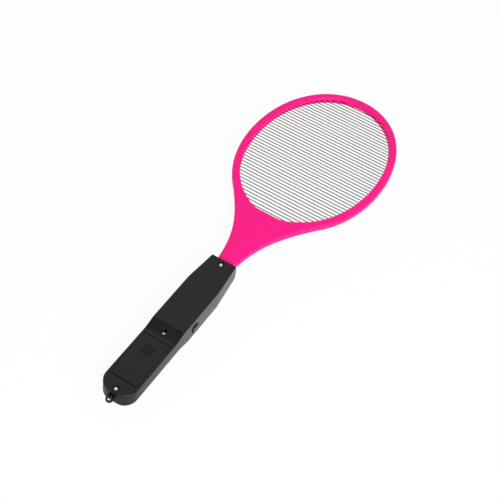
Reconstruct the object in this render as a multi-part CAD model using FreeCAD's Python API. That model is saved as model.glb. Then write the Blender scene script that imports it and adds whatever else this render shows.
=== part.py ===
"""Electric fly swatter with an oval wire grid, a two-part hoop and a battery handle. Sizes are in mm.

The model is laid out from the hoop's centre: +Y runs to the hoop's tip, +X to the push button, and +Z out
of the handle's back face, where the screws and the battery door are. The finished pieces are then moved so
that the origin is under the middle of the whole swatter, on the surface that it lies on face down.
"""
import FreeCAD, Part
import math
import os

Vec = FreeCAD.Vector

# ---- hoop -------------------------------------------------------------------------------------------
HOOP_HALF_LENGTH = 109.2      # centre line of the rim, an oval along Y
HOOP_HALF_WIDTH = 77.35
HOOP_FULLNESS = 0.575         # pull of each quarter's curve, as a share of the half size; 0.552 is an ellipse
RIM_WIDTH = 8.6
RIM_THICKNESS = 8.0
RIM_WALL = 1.8
RIM_OUTER_ROUND = 2.2
RIM_INNER_ROUND = 1.5
GRID_FLAT_HALF_WIDTH = 10.0   # straight stretch of the opening's edge at the neck
GRID_FLAT_SET_BACK = 0.4      # how far that stretch lies inside the oval's end
GRID_FLAT_JOIN_ANGLE = 62.0   # where the straight stretch has run back into the oval: 90 is the oval's end
GRID_FLAT_PULL = 7.5
GRID_JOIN_PULL = 15.0

# ---- neck -------------------------------------------------------------------------------------------
HANDLE_START = 190.4          # from the hoop's centre to the handle's end face
NECK_HALF_WIDTH = 8.7         # at the neck's lower end, inside the handle
NECK_OVERLAP = 4.0            # how far the full neck reaches into the handle
NECK_TAPER = 8.0
NECK_JOIN_ANGLE = 48.0        # where the neck's side runs into the rim: 90 is the oval's end
NECK_LOW_PULL = 31.0
NECK_HIGH_PULL = 68.0
TENON_HALF_WIDTH = 7.0
TENON_HALF_THICKNESS = 3.2
TENON_LENGTH = 20.9
NECK_FIT = 0.2                # gap between the neck and the handle's slot

# ---- grid -------------------------------------------------------------------------------------------
WIRE_DIAMETER = 0.9
WIRE_PITCH = 4.45
WIRE_END_GAP = 8.0            # the end wires keep about this far from the rim's centre line at tip and neck
WIRE_NOTCH_GAP = 0.05
BEAD_RADIUS = 0.8
BEAD_INSET = 1.3              # bead centre, from the rim's centre line towards the grid
STRIP_THICKNESS = 0.4
STRIP_OUTSET = 1.2            # the strip's inner face, from the rim's centre line outwards
STRIP_TIP_GAP = 10.0          # each strip stops this far from the long axis at the tip
STRIP_NECK_GAP = 12.0

# ---- handle casing ----------------------------------------------------------------------------------
HANDLE_END = 378.8
GRIP_HALF_WIDTH = 17.8
MOUTH_HALF_WIDTH = 14.1       # half width of the casing's plan at its head end
MOUTH_BULGE = 2.0             # the end face bulges this far past HANDLE_START
MOUTH_RUN_OUT = 12.0          # plan and profile are drawn this far past the end face, which cuts them off
MOUTH_LEAD = 0.05             # the round under the end face is drawn this far below the front face
TAPER_START = 228.0
TAPER_ROUND = 60.0
TAIL_CORNER = 15.0
BACK_HIGH = 9.5               # back face over the electronics
BACK_LOW = 6.2                # back face over the batteries
FRONT_DEEP = 16.6             # front face under the electronics
FRONT_SHALLOW = 13.0          # front face under the batteries
FRONT_MOUTH = 13.6            # front face at the head end
BACK_STEP_Y = 289.6
BACK_STEP_RUN = 11.0
STEP_GROOVE_WIDTH = 0.9       # line across the back where the step begins
STEP_GROOVE_DEPTH = 0.7
FRONT_STEP_Y = 281.0
FRONT_STEP_RUN = 13.0
FRONT_SWELL_Y = 230.0
FRONT_EDGE_ROUND = 4.5
BACK_EDGE_ROUND = 0.6
TAIL_ROUND = 7.0
TAIL_ROUND_LEAD = 0.5         # the round under the tail is drawn this far past the end face, which cuts it off
STEP_ROUND = 25.0
CASE_WALL = 2.0
SEAM_Z = 2.0                  # plane where the two casing halves meet
LIP_HEIGHT = 1.4
LIP_GAP = 0.1
SEAM_REVEAL = 0.12            # half height of the shadow line along the seam
SEAM_REVEAL_DEPTH = 0.2

# ---- casing screws ----------------------------------------------------------------------------------
TOP_SCREW_Y = 196.5
MIDDLE_SCREW_Y = 296.4
TAIL_SCREW_Y = 373.2
SCREW_SEATS = {TOP_SCREW_Y: 7.2, MIDDLE_SCREW_Y: 3.1, TAIL_SCREW_Y: 3.3}   # height under each head
SCREW_HEAD_RADIUS = 2.1
SCREW_HEAD_HEIGHT = 1.4
SCREW_RADIUS = 1.3
SCREW_LENGTH = 12.0
SCREW_THREAD_GAP = 0.04
SCREW_CLEARANCE_RADIUS = 1.5
SCREW_RECESS_RADIUS = 2.9
CROSS_SLOT_LENGTH = 2.4
CROSS_SLOT_WIDTH = 0.6
CROSS_SLOT_DEPTH = 0.7
BOSS_RADIUS = 3.0
RECESS_BOSS_RADIUS = 4.2
BOSS_MEET_Z = 0.0
BOSS_GAP = 0.1                # between a boss and the hole in the tenon

# ---- hanging eyelet ---------------------------------------------------------------------------------
EYELET_REACH = 4.2            # hole centre, from the handle's end
EYELET_RADIUS = 3.7
EYELET_HOLE_RADIUS = 2.0
EYELET_TOP = 1.0
EYELET_THICKNESS = 2.0

# ---- batteries and their door -----------------------------------------------------------------------
CELL_RADIUS = 7.1
CELL_LENGTH = 50.5            # over the nub
CELL_NUB_RADIUS = 2.7
CELL_NUB_LENGTH = 1.0
CELL_GAP = 0.3                # between the two cells
CELL_Z = -3.2
CRADLE_GAP = 0.05
BAY_HEAD_Y = 306.0
BAY_TAIL_Y = 364.5
BAY_WALL = 1.5
BAY_WALL_TOP = 1.0
CRADLE_COUNT = 3
CRADLE_TOP = -6.0
DOOR_HEAD_Y = 306.7           # edges of the hole that the door closes
DOOR_TAIL_Y = 362.9
DOOR_HOLE_HALF_WIDTH = 14.7
DOOR_SIDE_GAP = 0.25
DOOR_HEAD_GAP = 0.8
DOOR_TAIL_GAP = 1.0
DOOR_THICKNESS = 1.8
DOOR_CORNER = 1.0
HINGE_INSET = 0.5             # hinge line, from the hole's tail edge
HOOK_INNER_X = 12.0
HOOK_WIDTH = 2.2
HOOK_REACH = 2.1              # how far the hooks reach under the casing
HOOK_THICKNESS = 1.2
HOOK_DROP = 1.4               # from the back face to the hooks' upper side
HOOK_POCKET_GAP = 0.3
LEDGE_WIDTH = 3.2
LEDGE_REACH = 2.0
LEDGE_THICKNESS = 1.5
GRIP_PATCH_Y = 322.4
GRIP_PATCH_LENGTH = 9.5
GRIP_PATCH_WIDTH = 12.0
GRIP_PATCH_DEPTH = 0.5
GRIP_RIB_COUNT = 5
GRIP_RIB_WIDTH = 0.8
ARROW_Y = 333.1
ARROW_LENGTH = 4.0
ARROW_WIDTH = 3.2
ARROW_DEPTH = 0.4

# ---- battery contacts -------------------------------------------------------------------------------
CONTACT_THICKNESS = 0.3
CONTACT_HALF_SPAN = 13.0
CONTACT_BOTTOM = -9.5
CONTACT_TOP = 1.2
CONTACT_TAB_TOP = 2.6
CONTACT_TAB_WIDTH = 3.0
CONTACT_MIDDLE_GAP = 3.0
SPRING_WIRE_RADIUS = 0.4
SPRING_BASE_RADIUS = 4.2
SPRING_TIP_RADIUS = 2.4
SPRING_TURNS = 4
COIL_PROBE = 0.001            # turns to each side of a point when its direction is taken

# ---- push button and switch -------------------------------------------------------------------------
BUTTON_Y = 268.6
BUTTON_Z = -3.5
BUTTON_LENGTH = 8.8
BUTTON_HEIGHT = 7.8
BUTTON_CORNER = 2.2
BUTTON_GAP = 0.9
BUTTON_PROUD = 1.2
BUTTON_EDGE_ROUND = 0.9
BUTTON_TRAVEL = 1.5
FLANGE_MARGIN = 1.1           # flange past the hole's edge
FLANGE_THICKNESS = 1.2
FLANGE_GAP = 0.1
STEM_RADIUS = 2.4
STEM_LENGTH = 1.0
PLUNGER_GAP = 0.1
PLUNGER_RADIUS = 1.5
PLUNGER_REACH = 2.4           # out of the switch body
PLUNGER_HIDDEN = 1.8          # inside the switch body
PLUNGER_FIT = 0.05
SWITCH_DEPTH = 6.0
SWITCH_LENGTH = 8.0
GUIDE_GAP = 0.25
GUIDE_THICKNESS = 1.2
GUIDE_REACH = 3.4

# ---- circuit board ----------------------------------------------------------------------------------
BOARD_HEAD_Y = 222.0
BOARD_LENGTH = 64.0
BOARD_LEFT = -12.5
BOARD_RIGHT = 11.5
BOARD_THICKNESS = 1.6
BOARD_TOP = -6.4
POST_RADIUS = 2.2
POST_INSET_Y = 3.5
POST_INSET_X = 2.5
BOARD_SCREW_RADIUS = 0.95
BOARD_SCREW_LENGTH = 5.0
BOARD_SCREW_HEAD_RADIUS = 1.8
BOARD_SCREW_HEAD_HEIGHT = 1.1
BOARD_SCREW_THREAD_GAP = 0.04
BOARD_HOLE_RADIUS = 1.1

# ---- parts on the board -----------------------------------------------------------------------------
STORAGE_Y = 231.0
STORAGE_SIZE = (16.0, 7.0, 11.0)
TRANSFORMER_Y = 245.5
CORE_SIZE = (16.0, 14.0, 5.0)
CORE_CENTRE_LEG = 4.0
CORE_OUTER_LEG = 2.5
CORE_YOKE = 2.5
WINDING_MARGIN = 0.1
WINDING_HEIGHT = 12.0
PUMP_CAPACITOR_X = -7.6
PUMP_CAPACITOR_SIZE = (8.8, 4.0, 8.5)
PUMP_CAPACITOR_PITCH = 6.5
PUMP_CAPACITOR_COUNT = 3
PUMP_CAPACITOR_FIRST_Y = 258.5
COMPONENT_STAND_OFF = 1.0
COMPONENT_LEAD_RADIUS = 0.3
DIODE_RADIUS = 1.3
DIODE_LENGTH = 4.4
DIODE_LEAD_SPAN = 9.0
DIODE_COLUMNS = (-1.0, 2.3)
DIODE_ROWS = (259.0, 270.0)
RESISTOR_RADIUS = 1.1
RESISTOR_LENGTH = 5.4
RESISTOR_LEAD_SPAN = 8.6
RESISTOR_COLUMNS = (6.0, 9.0)
RESISTOR_ROW = 258.5
TRANSISTOR_X = 7.4
TRANSISTOR_INSET = 8.2        # from the board's tail edge
TRANSISTOR_RADIUS = 2.3
TRANSISTOR_HEIGHT = 4.8
TRANSISTOR_FLAT = 1.3
LED_Y = 250.0
LED_RADIUS = 1.5
LED_FLANGE_RADIUS = 1.9
LED_FLANGE_HEIGHT = 1.0
LED_STAND_OFF = 2.6
LED_HOLE_GAP = 0.1
LED_SET_BACK = 0.2

# ---- leads ------------------------------------------------------------------------------------------
LEAD_RADIUS = 0.6
LEAD_CHANNEL_X = 5.0
LEAD_CHANNEL_GAP = 0.2
LEAD_BEND_SHARE = 0.45        # tangent length of each bend, as a share of the shorter run beside it

# ---- places worked out from the sizes above ---------------------------------------------------------
RIM_HALF = RIM_WIDTH / 2
HALF_THICKNESS = RIM_THICKNESS / 2
WIRE_RADIUS = WIRE_DIAMETER / 2
WIRE_COUNT = 2 * int((HOOP_HALF_LENGTH - WIRE_END_GAP) / WIRE_PITCH + 0.5)
CHANNEL_DEPTH = HALF_THICKNESS - RIM_WALL
NECK_BOTTOM = HANDLE_START + NECK_OVERLAP
TENON_END = HANDLE_START + TENON_LENGTH
INNER_X = GRIP_HALF_WIDTH - CASE_WALL
CELL_X = CELL_RADIUS + CELL_GAP / 2
TAIL_PLATE_FACE = BAY_TAIL_Y - CONTACT_THICKNESS
HEAD_PLATE_FACE = BAY_HEAD_Y + CONTACT_THICKNESS
CELL_BODY = CELL_LENGTH - CELL_NUB_LENGTH
SPRING_LENGTH = TAIL_PLATE_FACE - HEAD_PLATE_FACE - CELL_LENGTH
HINGE_Y = DOOR_TAIL_Y - HINGE_INSET
DOOR_BOTTOM = BACK_LOW - DOOR_THICKNESS
FLANGE_OUTER_X = INNER_X - FLANGE_GAP
FLANGE_INNER_X = FLANGE_OUTER_X - FLANGE_THICKNESS
STEM_END_X = FLANGE_INNER_X - STEM_LENGTH
PLUNGER_END_X = STEM_END_X - PLUNGER_GAP
SWITCH_FACE_X = PLUNGER_END_X - PLUNGER_REACH
BOARD_BOTTOM = BOARD_TOP - BOARD_THICKNESS
BOARD_TAIL_Y = BOARD_HEAD_Y + BOARD_LENGTH
POSTS = [
    (x, y)
    for x in (BOARD_LEFT + POST_INSET_X, BOARD_RIGHT - POST_INSET_X)
    for y in (BOARD_HEAD_Y + POST_INSET_Y, BOARD_TAIL_Y - POST_INSET_Y)
]
BOARD_SCREW_PLACES = [POSTS[1], POSTS[2]]
EYELET_Y = HANDLE_END + EYELET_REACH
SWATTER_TIP = HOOP_HALF_LENGTH + RIM_HALF
SWATTER_TAIL = EYELET_Y + EYELET_RADIUS
ORIGIN_SHIFT = Vec(0, (SWATTER_TAIL - SWATTER_TIP) / 2, FRONT_DEEP)
FAR = 100.0                   # longer than any cut has to be


# ---- drawing helpers --------------------------------------------------------------------------------
def block(x, y, z):
    """Box between three (low, high) pairs, with y counted from the hoop's centre towards the tail."""
    return Part.makeBox(x[1] - x[0], y[1] - y[0], z[1] - z[0], Vec(x[0], -y[1], z[0]))


def upright(x, y, radius, low, high):
    """Round bar along Z at a distance y from the hoop's centre towards the tail."""
    return Part.makeCylinder(radius, high - low, Vec(x, -y, low))


def slab(low, high):
    """Everything between two heights."""
    return Part.makeBox(4 * FAR, 10 * FAR, high - low, Vec(-2 * FAR, -6 * FAR, low))


def mirrored(shape):
    """The same shape on the other side of the long axis."""
    return shape.mirror(Vec(0, 0, 0), Vec(1, 0, 0))


def rounded_wire(points, radii, place):
    """Closed outline of straight runs, with an arc of its own radius at each point."""
    count = len(points)
    corners = []
    for index, (point, radius) in enumerate(zip(points, radii)):
        before = Vec(*points[index - 1], 0) - Vec(*point, 0)
        after = Vec(*points[(index + 1) % count], 0) - Vec(*point, 0)
        before.normalize()
        after.normalize()
        half_angle = before.getAngle(after) / 2
        middle = before + after
        here = Vec(*point, 0)
        if radius == 0:
            corners.append((here, None, here))
            continue
        run = radius / math.tan(half_angle)
        middle.normalize()
        reach = radius / math.sin(half_angle) - radius
        corners.append((here + before * run, here + middle * reach, here + after * run))
    edges = []
    for index, (start, middle, end) in enumerate(corners):
        if middle is not None:
            edges.append(Part.Arc(place(start), place(middle), place(end)).toShape())
        following = corners[(index + 1) % count][0]
        if end.distanceToPoint(following) > 1e-6:
            edges.append(Part.LineSegment(place(end), place(following)).toShape())
    return Part.Wire(edges)


def inset_wire(points, radii, inset, place):
    """The same outline moved inwards, with its arcs' radii changed to match; the points run clockwise."""
    moved = []
    new_radii = []
    for index, (point, radius) in enumerate(zip(points, radii)):
        here = Vec(*point, 0)
        arriving = here - Vec(*points[index - 1], 0)
        leaving = Vec(*points[(index + 1) % len(points)], 0) - here
        arriving.normalize()
        leaving.normalize()
        inward = Vec(arriving.y + leaving.y, -arriving.x - leaving.x, 0)
        corner = here + inward * (inset / (1 + arriving.dot(leaving)))
        hollow_corner = arriving.cross(leaving).z > 0
        moved.append((corner.x, corner.y))
        new_radii.append(radius + inset if hollow_corner else max(0, radius - inset))
    return rounded_wire(moved, new_radii, place)


def in_plan(point):
    """Outline point drawn looking down on the back face, with y towards the tail."""
    return Vec(point.x, -point.y, 0)


def in_profile(point):
    """Outline point drawn from the side: x is the distance towards the tail, y the height."""
    return Vec(0, -point.x, point.y)


def fused(shapes):
    """One solid from shapes that overlap or share faces."""
    whole = shapes[0].fuse(shapes[1:]).removeSplitter()
    return whole.Solids[0] if len(whole.Solids) == 1 else whole


def routed_tube(points, radius):
    """Round tube along straight runs with a tangent arc at each inner point."""
    places = [Vec(*point) for point in points]
    start = places[0]
    edges = []
    for before, here, after in zip(places, places[1:], places[2:]):
        back = before - here
        ahead = after - here
        tangent = LEAD_BEND_SHARE * min(back.Length, ahead.Length)
        back.normalize()
        ahead.normalize()
        half_angle = back.getAngle(ahead) / 2
        bend_radius = tangent * math.tan(half_angle)
        middle = back + ahead
        middle.normalize()
        reach = bend_radius / math.sin(half_angle) - bend_radius
        arc_start = here + back * tangent
        arc_end = here + ahead * tangent
        edges.append(Part.LineSegment(start, arc_start).toShape())
        edges.append(Part.Arc(arc_start, here + middle * reach, arc_end).toShape())
        start = arc_end
    edges.append(Part.LineSegment(start, places[-1]).toShape())
    path = Part.Wire(edges)
    direction = places[1] - places[0]
    section = Part.Wire(Part.makeCircle(radius, places[0], direction))
    return path.makePipeShell([section], True, True).Solids[0]


# ---- hoop outlines ----------------------------------------------------------------------------------
def quarter(offset, index):
    """One quarter of the oval that lies offset outside the rim's centre line; quarter 0 runs from +X to +Y."""
    half_width = HOOP_HALF_WIDTH + offset
    half_length = HOOP_HALF_LENGTH + offset
    poles = [
        Vec(half_width, 0, 0),
        Vec(half_width, HOOP_FULLNESS * half_length, 0),
        Vec(HOOP_FULLNESS * half_width, half_length, 0),
        Vec(0, half_length, 0),
    ]
    across = -1 if index % 4 in (1, 2) else 1
    along = -1 if index % 4 in (2, 3) else 1
    poles = [Vec(across * pole.x, along * pole.y, 0) for pole in poles]
    curve = Part.BezierCurve()
    curve.setPoles(poles if across == along else poles[::-1])
    return curve


def oval_point(offset, angle):
    """Point on that oval; 0 degrees is at +X and 90 at +Y."""
    return quarter(offset, int(angle // 90)).value(angle % 90 / 90)


def oval_direction(offset, angle):
    """Direction of travel on that oval, towards growing angles."""
    return quarter(offset, int(angle // 90)).tangent(angle % 90 / 90)[0]


def oval(offset):
    """Flat face inside that oval."""
    return Part.Face(Part.Wire([quarter(offset, index).toShape() for index in range(4)]))


def half_chord(face, y):
    """Half the width of a flat face at a height y."""
    return Part.makeLine(Vec(-FAR, y, 0), Vec(FAR, y, 0)).common(face).Length / 2


def loop_over_tip(offset, join_angle, low_points):
    """Closed face: the oval over the tip, a free curve down each side, and a line between them."""
    join = oval_point(offset, -join_angle)
    mirror = [Vec(-point.x, point.y, 0) for point in low_points + [join]]
    right = Part.BezierCurve()
    right.setPoles(low_points + [join])
    left = Part.BezierCurve()
    left.setPoles(mirror[::-1])
    low_share = 1 - join_angle / 90
    edges = [
        right.toShape(),
        quarter(offset, 3).toShape(low_share, 1),
        quarter(offset, 0).toShape(),
        quarter(offset, 1).toShape(),
        quarter(offset, 2).toShape(0, 1 - low_share),
        left.toShape(),
        Part.LineSegment(mirror[0], low_points[0]).toShape(),
    ]
    return Part.Face(Part.Wire(edges))


def head_outline(inset):
    """Outline of the hoop with its neck, drawn inset from the outer edge."""
    offset = RIM_HALF - inset
    slope = math.radians(NECK_TAPER)
    start = Vec(NECK_HALF_WIDTH - inset, -NECK_BOTTOM, 0)
    low = start + Vec(math.sin(slope), math.cos(slope), 0) * NECK_LOW_PULL
    join = oval_point(offset, -NECK_JOIN_ANGLE)
    high = join - oval_direction(offset, -NECK_JOIN_ANGLE) * NECK_HIGH_PULL
    return loop_over_tip(offset, NECK_JOIN_ANGLE, [start, low, high])


def grid_outline(outset):
    """Outline of the grid's opening, drawn outset into the rim."""
    offset = outset - RIM_HALF
    flat_y = -(HOOP_HALF_LENGTH + offset - GRID_FLAT_SET_BACK)
    start = Vec(GRID_FLAT_HALF_WIDTH, flat_y, 0)
    low = start + Vec(GRID_FLAT_PULL, 0, 0)
    join = oval_point(offset, -GRID_FLAT_JOIN_ANGLE)
    high = join - oval_direction(offset, -GRID_FLAT_JOIN_ANGLE) * GRID_JOIN_PULL
    return loop_over_tip(offset, GRID_FLAT_JOIN_ANGLE, [start, low, high])


def raised(face, low, high):
    """Face pushed up from one height to another."""
    lifted = face.copy()
    lifted.translate(Vec(0, 0, low))
    return lifted.extrude(Vec(0, 0, high - low))


# ---- grid wires -------------------------------------------------------------------------------------
def wire_heights():
    """The y of each wire, from the tip to the neck."""
    first = WIRE_PITCH * (WIRE_COUNT - 1) / 2
    return [first - WIRE_PITCH * index for index in range(WIRE_COUNT)]


def grid_wires(side):
    """Every second wire: it lies on the strip at one side, and ends in a bead behind the other lip."""
    wires = []
    chosen = wire_heights()[0::2] if side < 0 else wire_heights()[1::2]
    strip_loop = oval(STRIP_OUTSET + STRIP_THICKNESS)
    bead_loop = grid_outline(RIM_HALF - BEAD_INSET)
    for y in chosen:
        at_strip = half_chord(strip_loop, y)
        at_bead = half_chord(bead_loop, y)
        span = at_strip + at_bead
        start = Vec(-at_strip if side < 0 else -at_bead, y, 0)
        wire = Part.makeCylinder(WIRE_RADIUS, span, start, Vec(1, 0, 0))
        bead = Part.makeSphere(BEAD_RADIUS, Vec(-side * at_bead, y, 0))
        wires.append(wire.fuse(bead).Solids[0])
    return Part.makeCompound(wires)


def wire_notches():
    """Square bars that clear a notch for each wire in the rim's inner lip."""
    half = WIRE_RADIUS + WIRE_NOTCH_GAP
    middle = oval(0)
    bars = []
    for y in wire_heights():
        reach = half_chord(middle, y)
        bars.append(block((-reach, reach), (-y - half, -y + half), (-half, half)))
    return Part.makeCompound(bars)


def bus_strip(side):
    """Metal strip on edge in the rim's channel, under the wires of one side."""
    inner = oval(STRIP_OUTSET)
    outer = oval(STRIP_OUTSET + STRIP_THICKNESS)
    band = raised(outer.cut(inner), -CHANNEL_DEPTH, -WIRE_RADIUS)
    length = 2 * (HOOP_HALF_LENGTH + RIM_HALF)
    width = HOOP_HALF_WIDTH + RIM_HALF
    at_tip = Part.makeBox(width, length / 2, FAR, Vec(STRIP_TIP_GAP, 0, -FAR / 2))
    at_neck = Part.makeBox(width, length / 2, FAR, Vec(STRIP_NECK_GAP, -length / 2, -FAR / 2))
    keep = at_tip.fuse(at_neck)
    if side < 0:
        keep = mirrored(keep)
    return band.common(keep).removeSplitter().Solids[0]


# ---- hoop halves ------------------------------------------------------------------------------------
def face_edges(body, round_opening):
    """Edges of the hoop's flat face: those round the grid's opening, or the others."""
    opening = grid_outline(0).OuterWire.translated(Vec(0, 0, HALF_THICKNESS))
    chosen = []
    for edge in body.Edges:
        if edge.BoundBox.ZMin < HALF_THICKNESS - 1e-6 or edge.CenterOfMass.y < -NECK_BOTTOM + 1e-3:
            continue
        if (edge.distToShape(opening)[0] < 1e-4) == round_opening:
            chosen.append(edge)
    return chosen


def hoop_half(direction):
    """One moulded half of the hoop, neck and tenon: +1 is the back half, -1 the front half."""
    body = raised(head_outline(0), 0, HALF_THICKNESS).cut(raised(grid_outline(0), 0, HALF_THICKNESS))
    body = body.makeFillet(RIM_OUTER_ROUND, face_edges(body, False))
    body = body.makeFillet(RIM_INNER_ROUND, face_edges(body, True))
    hollow = raised(head_outline(RIM_WALL), 0, CHANNEL_DEPTH)
    hollow = hollow.cut(raised(grid_outline(RIM_WALL), 0, CHANNEL_DEPTH))
    hollow = hollow.cut(block((-FAR, FAR), (HANDLE_START - RIM_WALL, 3 * FAR), (-FAR, FAR)))
    tenon = block((-TENON_HALF_WIDTH, TENON_HALF_WIDTH), (HANDLE_START, TENON_END), (0, TENON_HALF_THICKNESS))
    body = body.fuse(tenon).removeSplitter().cut(hollow)
    channel_half = LEAD_RADIUS + LEAD_CHANNEL_GAP
    channel_height = 2 * LEAD_RADIUS + LEAD_CHANNEL_GAP - WIRE_RADIUS
    channel_y = (HANDLE_START - 2 * RIM_WALL, TENON_END)
    for x in (-LEAD_CHANNEL_X, LEAD_CHANNEL_X):
        body = body.cut(block((x - channel_half, x + channel_half), channel_y, (0, channel_height)))
    body = body.cut(upright(0, TOP_SCREW_Y, BOSS_RADIUS + BOSS_GAP, 0, HALF_THICKNESS))
    if direction < 0:
        body = body.mirror(Vec(0, 0, 0), Vec(0, 0, 1))
    return body.cut(wire_notches()).Solids[0]


# ---- handle casing ----------------------------------------------------------------------------------
def casing_plan(inset):
    """The casing seen from the back, inset from its outer skin."""
    widening = (GRIP_HALF_WIDTH - MOUTH_HALF_WIDTH) / (TAPER_START - HANDLE_START)
    half_width = MOUTH_HALF_WIDTH - widening * MOUTH_RUN_OUT
    points = [
        (-half_width, HANDLE_START - MOUTH_RUN_OUT),
        (-GRIP_HALF_WIDTH, TAPER_START),
        (-GRIP_HALF_WIDTH, HANDLE_END),
        (GRIP_HALF_WIDTH, HANDLE_END),
        (GRIP_HALF_WIDTH, TAPER_START),
        (half_width, HANDLE_START - MOUTH_RUN_OUT),
    ]
    radii = [0, TAPER_ROUND, TAIL_CORNER, TAIL_CORNER, TAPER_ROUND, 0]
    return Part.Face(inset_wire(points, radii, inset, in_plan))


FRONT_DEEPENING = (FRONT_DEEP - FRONT_MOUTH) / (FRONT_SWELL_Y - HANDLE_START)


def casing_profile(inset):
    """The casing seen from the side, inset from its outer skin and drawn past its head end."""
    points = [
        (HANDLE_START - MOUTH_RUN_OUT, BACK_HIGH),
        (BACK_STEP_Y, BACK_HIGH),
        (BACK_STEP_Y + BACK_STEP_RUN, BACK_LOW),
        (HANDLE_END + TAIL_ROUND_LEAD, BACK_LOW),
        (HANDLE_END + TAIL_ROUND_LEAD, -FRONT_SHALLOW),
        (FRONT_STEP_Y + FRONT_STEP_RUN, -FRONT_SHALLOW),
        (FRONT_STEP_Y, -FRONT_DEEP),
        (FRONT_SWELL_Y, -FRONT_DEEP),
        (HANDLE_START - MOUTH_RUN_OUT, FRONT_DEEPENING * MOUTH_RUN_OUT - FRONT_MOUTH),
    ]
    radii = [0, 1.5, STEP_ROUND / 2, 0, TAIL_ROUND, STEP_ROUND, STEP_ROUND, TAPER_ROUND, 0]
    return Part.Face(inset_wire(points, radii, inset, in_profile))


def behind_end_face(inset):
    """All that lies on the casing's side of its head end face, seen from the side."""
    top = BACK_HIGH + MOUTH_RUN_OUT
    low = -FRONT_MOUTH - MOUTH_LEAD
    past_tail = HANDLE_END + MOUTH_RUN_OUT
    points = [
        (HANDLE_START + MOUTH_BULGE * MOUTH_RUN_OUT / BACK_HIGH, top),
        (past_tail, top),
        (past_tail, low - FRONT_DEEPENING * (past_tail - HANDLE_START)),
        (HANDLE_START, low),
        (HANDLE_START - MOUTH_BULGE, 0),
    ]
    return Part.Face(inset_wire(points, [0, 0, 0, TAIL_ROUND, STEP_ROUND], inset, in_profile))


def runs_along(edge, axis):
    """True for an edge with no extent across one axis."""
    box = edge.BoundBox
    across = [size for size, share in zip((box.XLength, box.YLength, box.ZLength), axis) if share == 0]
    return max(across) < 1e-3


def casing(inset):
    """Solid casing, inset from its outer skin: plan and profile crossed, rounded, and cut off at its head."""
    plan = casing_plan(inset)
    profile = casing_profile(inset)
    plan.translate(Vec(0, 0, -FAR / 2))
    profile.translate(Vec(-FAR / 2, 0, 0))
    body = plan.extrude(Vec(0, 0, FAR)).common(profile.extrude(Vec(FAR, 0, 0))).Solids[0]
    tail = -(HANDLE_END - inset)
    front = []
    for edge in body.Edges:
        middle = edge.CenterOfMass
        upright_edge = runs_along(edge, Vec(0, 0, 1))
        across = runs_along(edge, Vec(1, 0, 0)) and abs(middle.x) < 1e-3
        at_tail = abs(middle.y - tail) < 1e-3
        if upright_edge or (across and not at_tail):
            continue
        if middle.z < -FRONT_MOUTH / 2 and not (across and middle.z > -TAIL_ROUND):
            front.append(edge)
    body = body.makeFillet(FRONT_EDGE_ROUND - inset, front)
    kept = behind_end_face(inset)
    kept.translate(Vec(-FAR / 2, 0, 0))
    body = body.common(kept.extrude(Vec(FAR, 0, 0))).Solids[0]
    return body if inset else rounded_back(body, tail)


def rounded_back(body, tail):
    """The casing with the edge of its back face rounded."""
    edges = []
    for edge in body.Edges:
        middle = edge.CenterOfMass
        across = runs_along(edge, Vec(1, 0, 0)) and abs(middle.x) < 1e-3
        at_head = abs(middle.y + HANDLE_START) < MOUTH_BULGE
        at_tail = abs(middle.y - tail) < 1e-3
        if middle.z < BACK_LOW - 1e-3 or runs_along(edge, Vec(0, 0, 1)):
            continue
        if across == at_head or (across and at_tail):
            edges.append(edge)
    return body.makeFillet(BACK_EDGE_ROUND, edges)


SKIN = casing(0)
REVEAL_BODY = casing(SEAM_REVEAL_DEPTH)
HOLLOW = casing(CASE_WALL)


def neck_slot():
    """Space that the neck passes through in the casing's end face."""
    half_width = NECK_HALF_WIDTH + (NECK_OVERLAP + MOUTH_BULGE) * math.tan(math.radians(NECK_TAPER)) + NECK_FIT
    half_height = HALF_THICKNESS + NECK_FIT
    return block(
        (-half_width, half_width),
        (HANDLE_START - 2 * MOUTH_BULGE, HANDLE_START + 2 * CASE_WALL),
        (-half_height, half_height),
    )


def seam_reveal():
    """Shallow groove round the casing where its halves meet."""
    return SKIN.cut(REVEAL_BODY).common(slab(SEAM_Z - SEAM_REVEAL, SEAM_Z + SEAM_REVEAL))


def button_hole():
    """Slot in the side wall for the push button."""
    return button_block(BUTTON_GAP, INNER_X - CASE_WALL, GRIP_HALF_WIDTH + CASE_WALL, BUTTON_CORNER + BUTTON_GAP)


def button_block(margin, low_x, high_x, corner):
    """Rounded block along X in line with the button."""
    half_length = BUTTON_LENGTH / 2 + margin
    half_height = BUTTON_HEIGHT / 2 + margin
    points = [
        (-half_length, -half_height),
        (half_length, -half_height),
        (half_length, half_height),
        (-half_length, half_height),
    ]

    def on_wall(point):
        return Vec(low_x, point.x - BUTTON_Y, point.y + BUTTON_Z)

    return Part.Face(rounded_wire(points, [corner] * 4, on_wall)).extrude(Vec(high_x - low_x, 0, 0))


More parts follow.
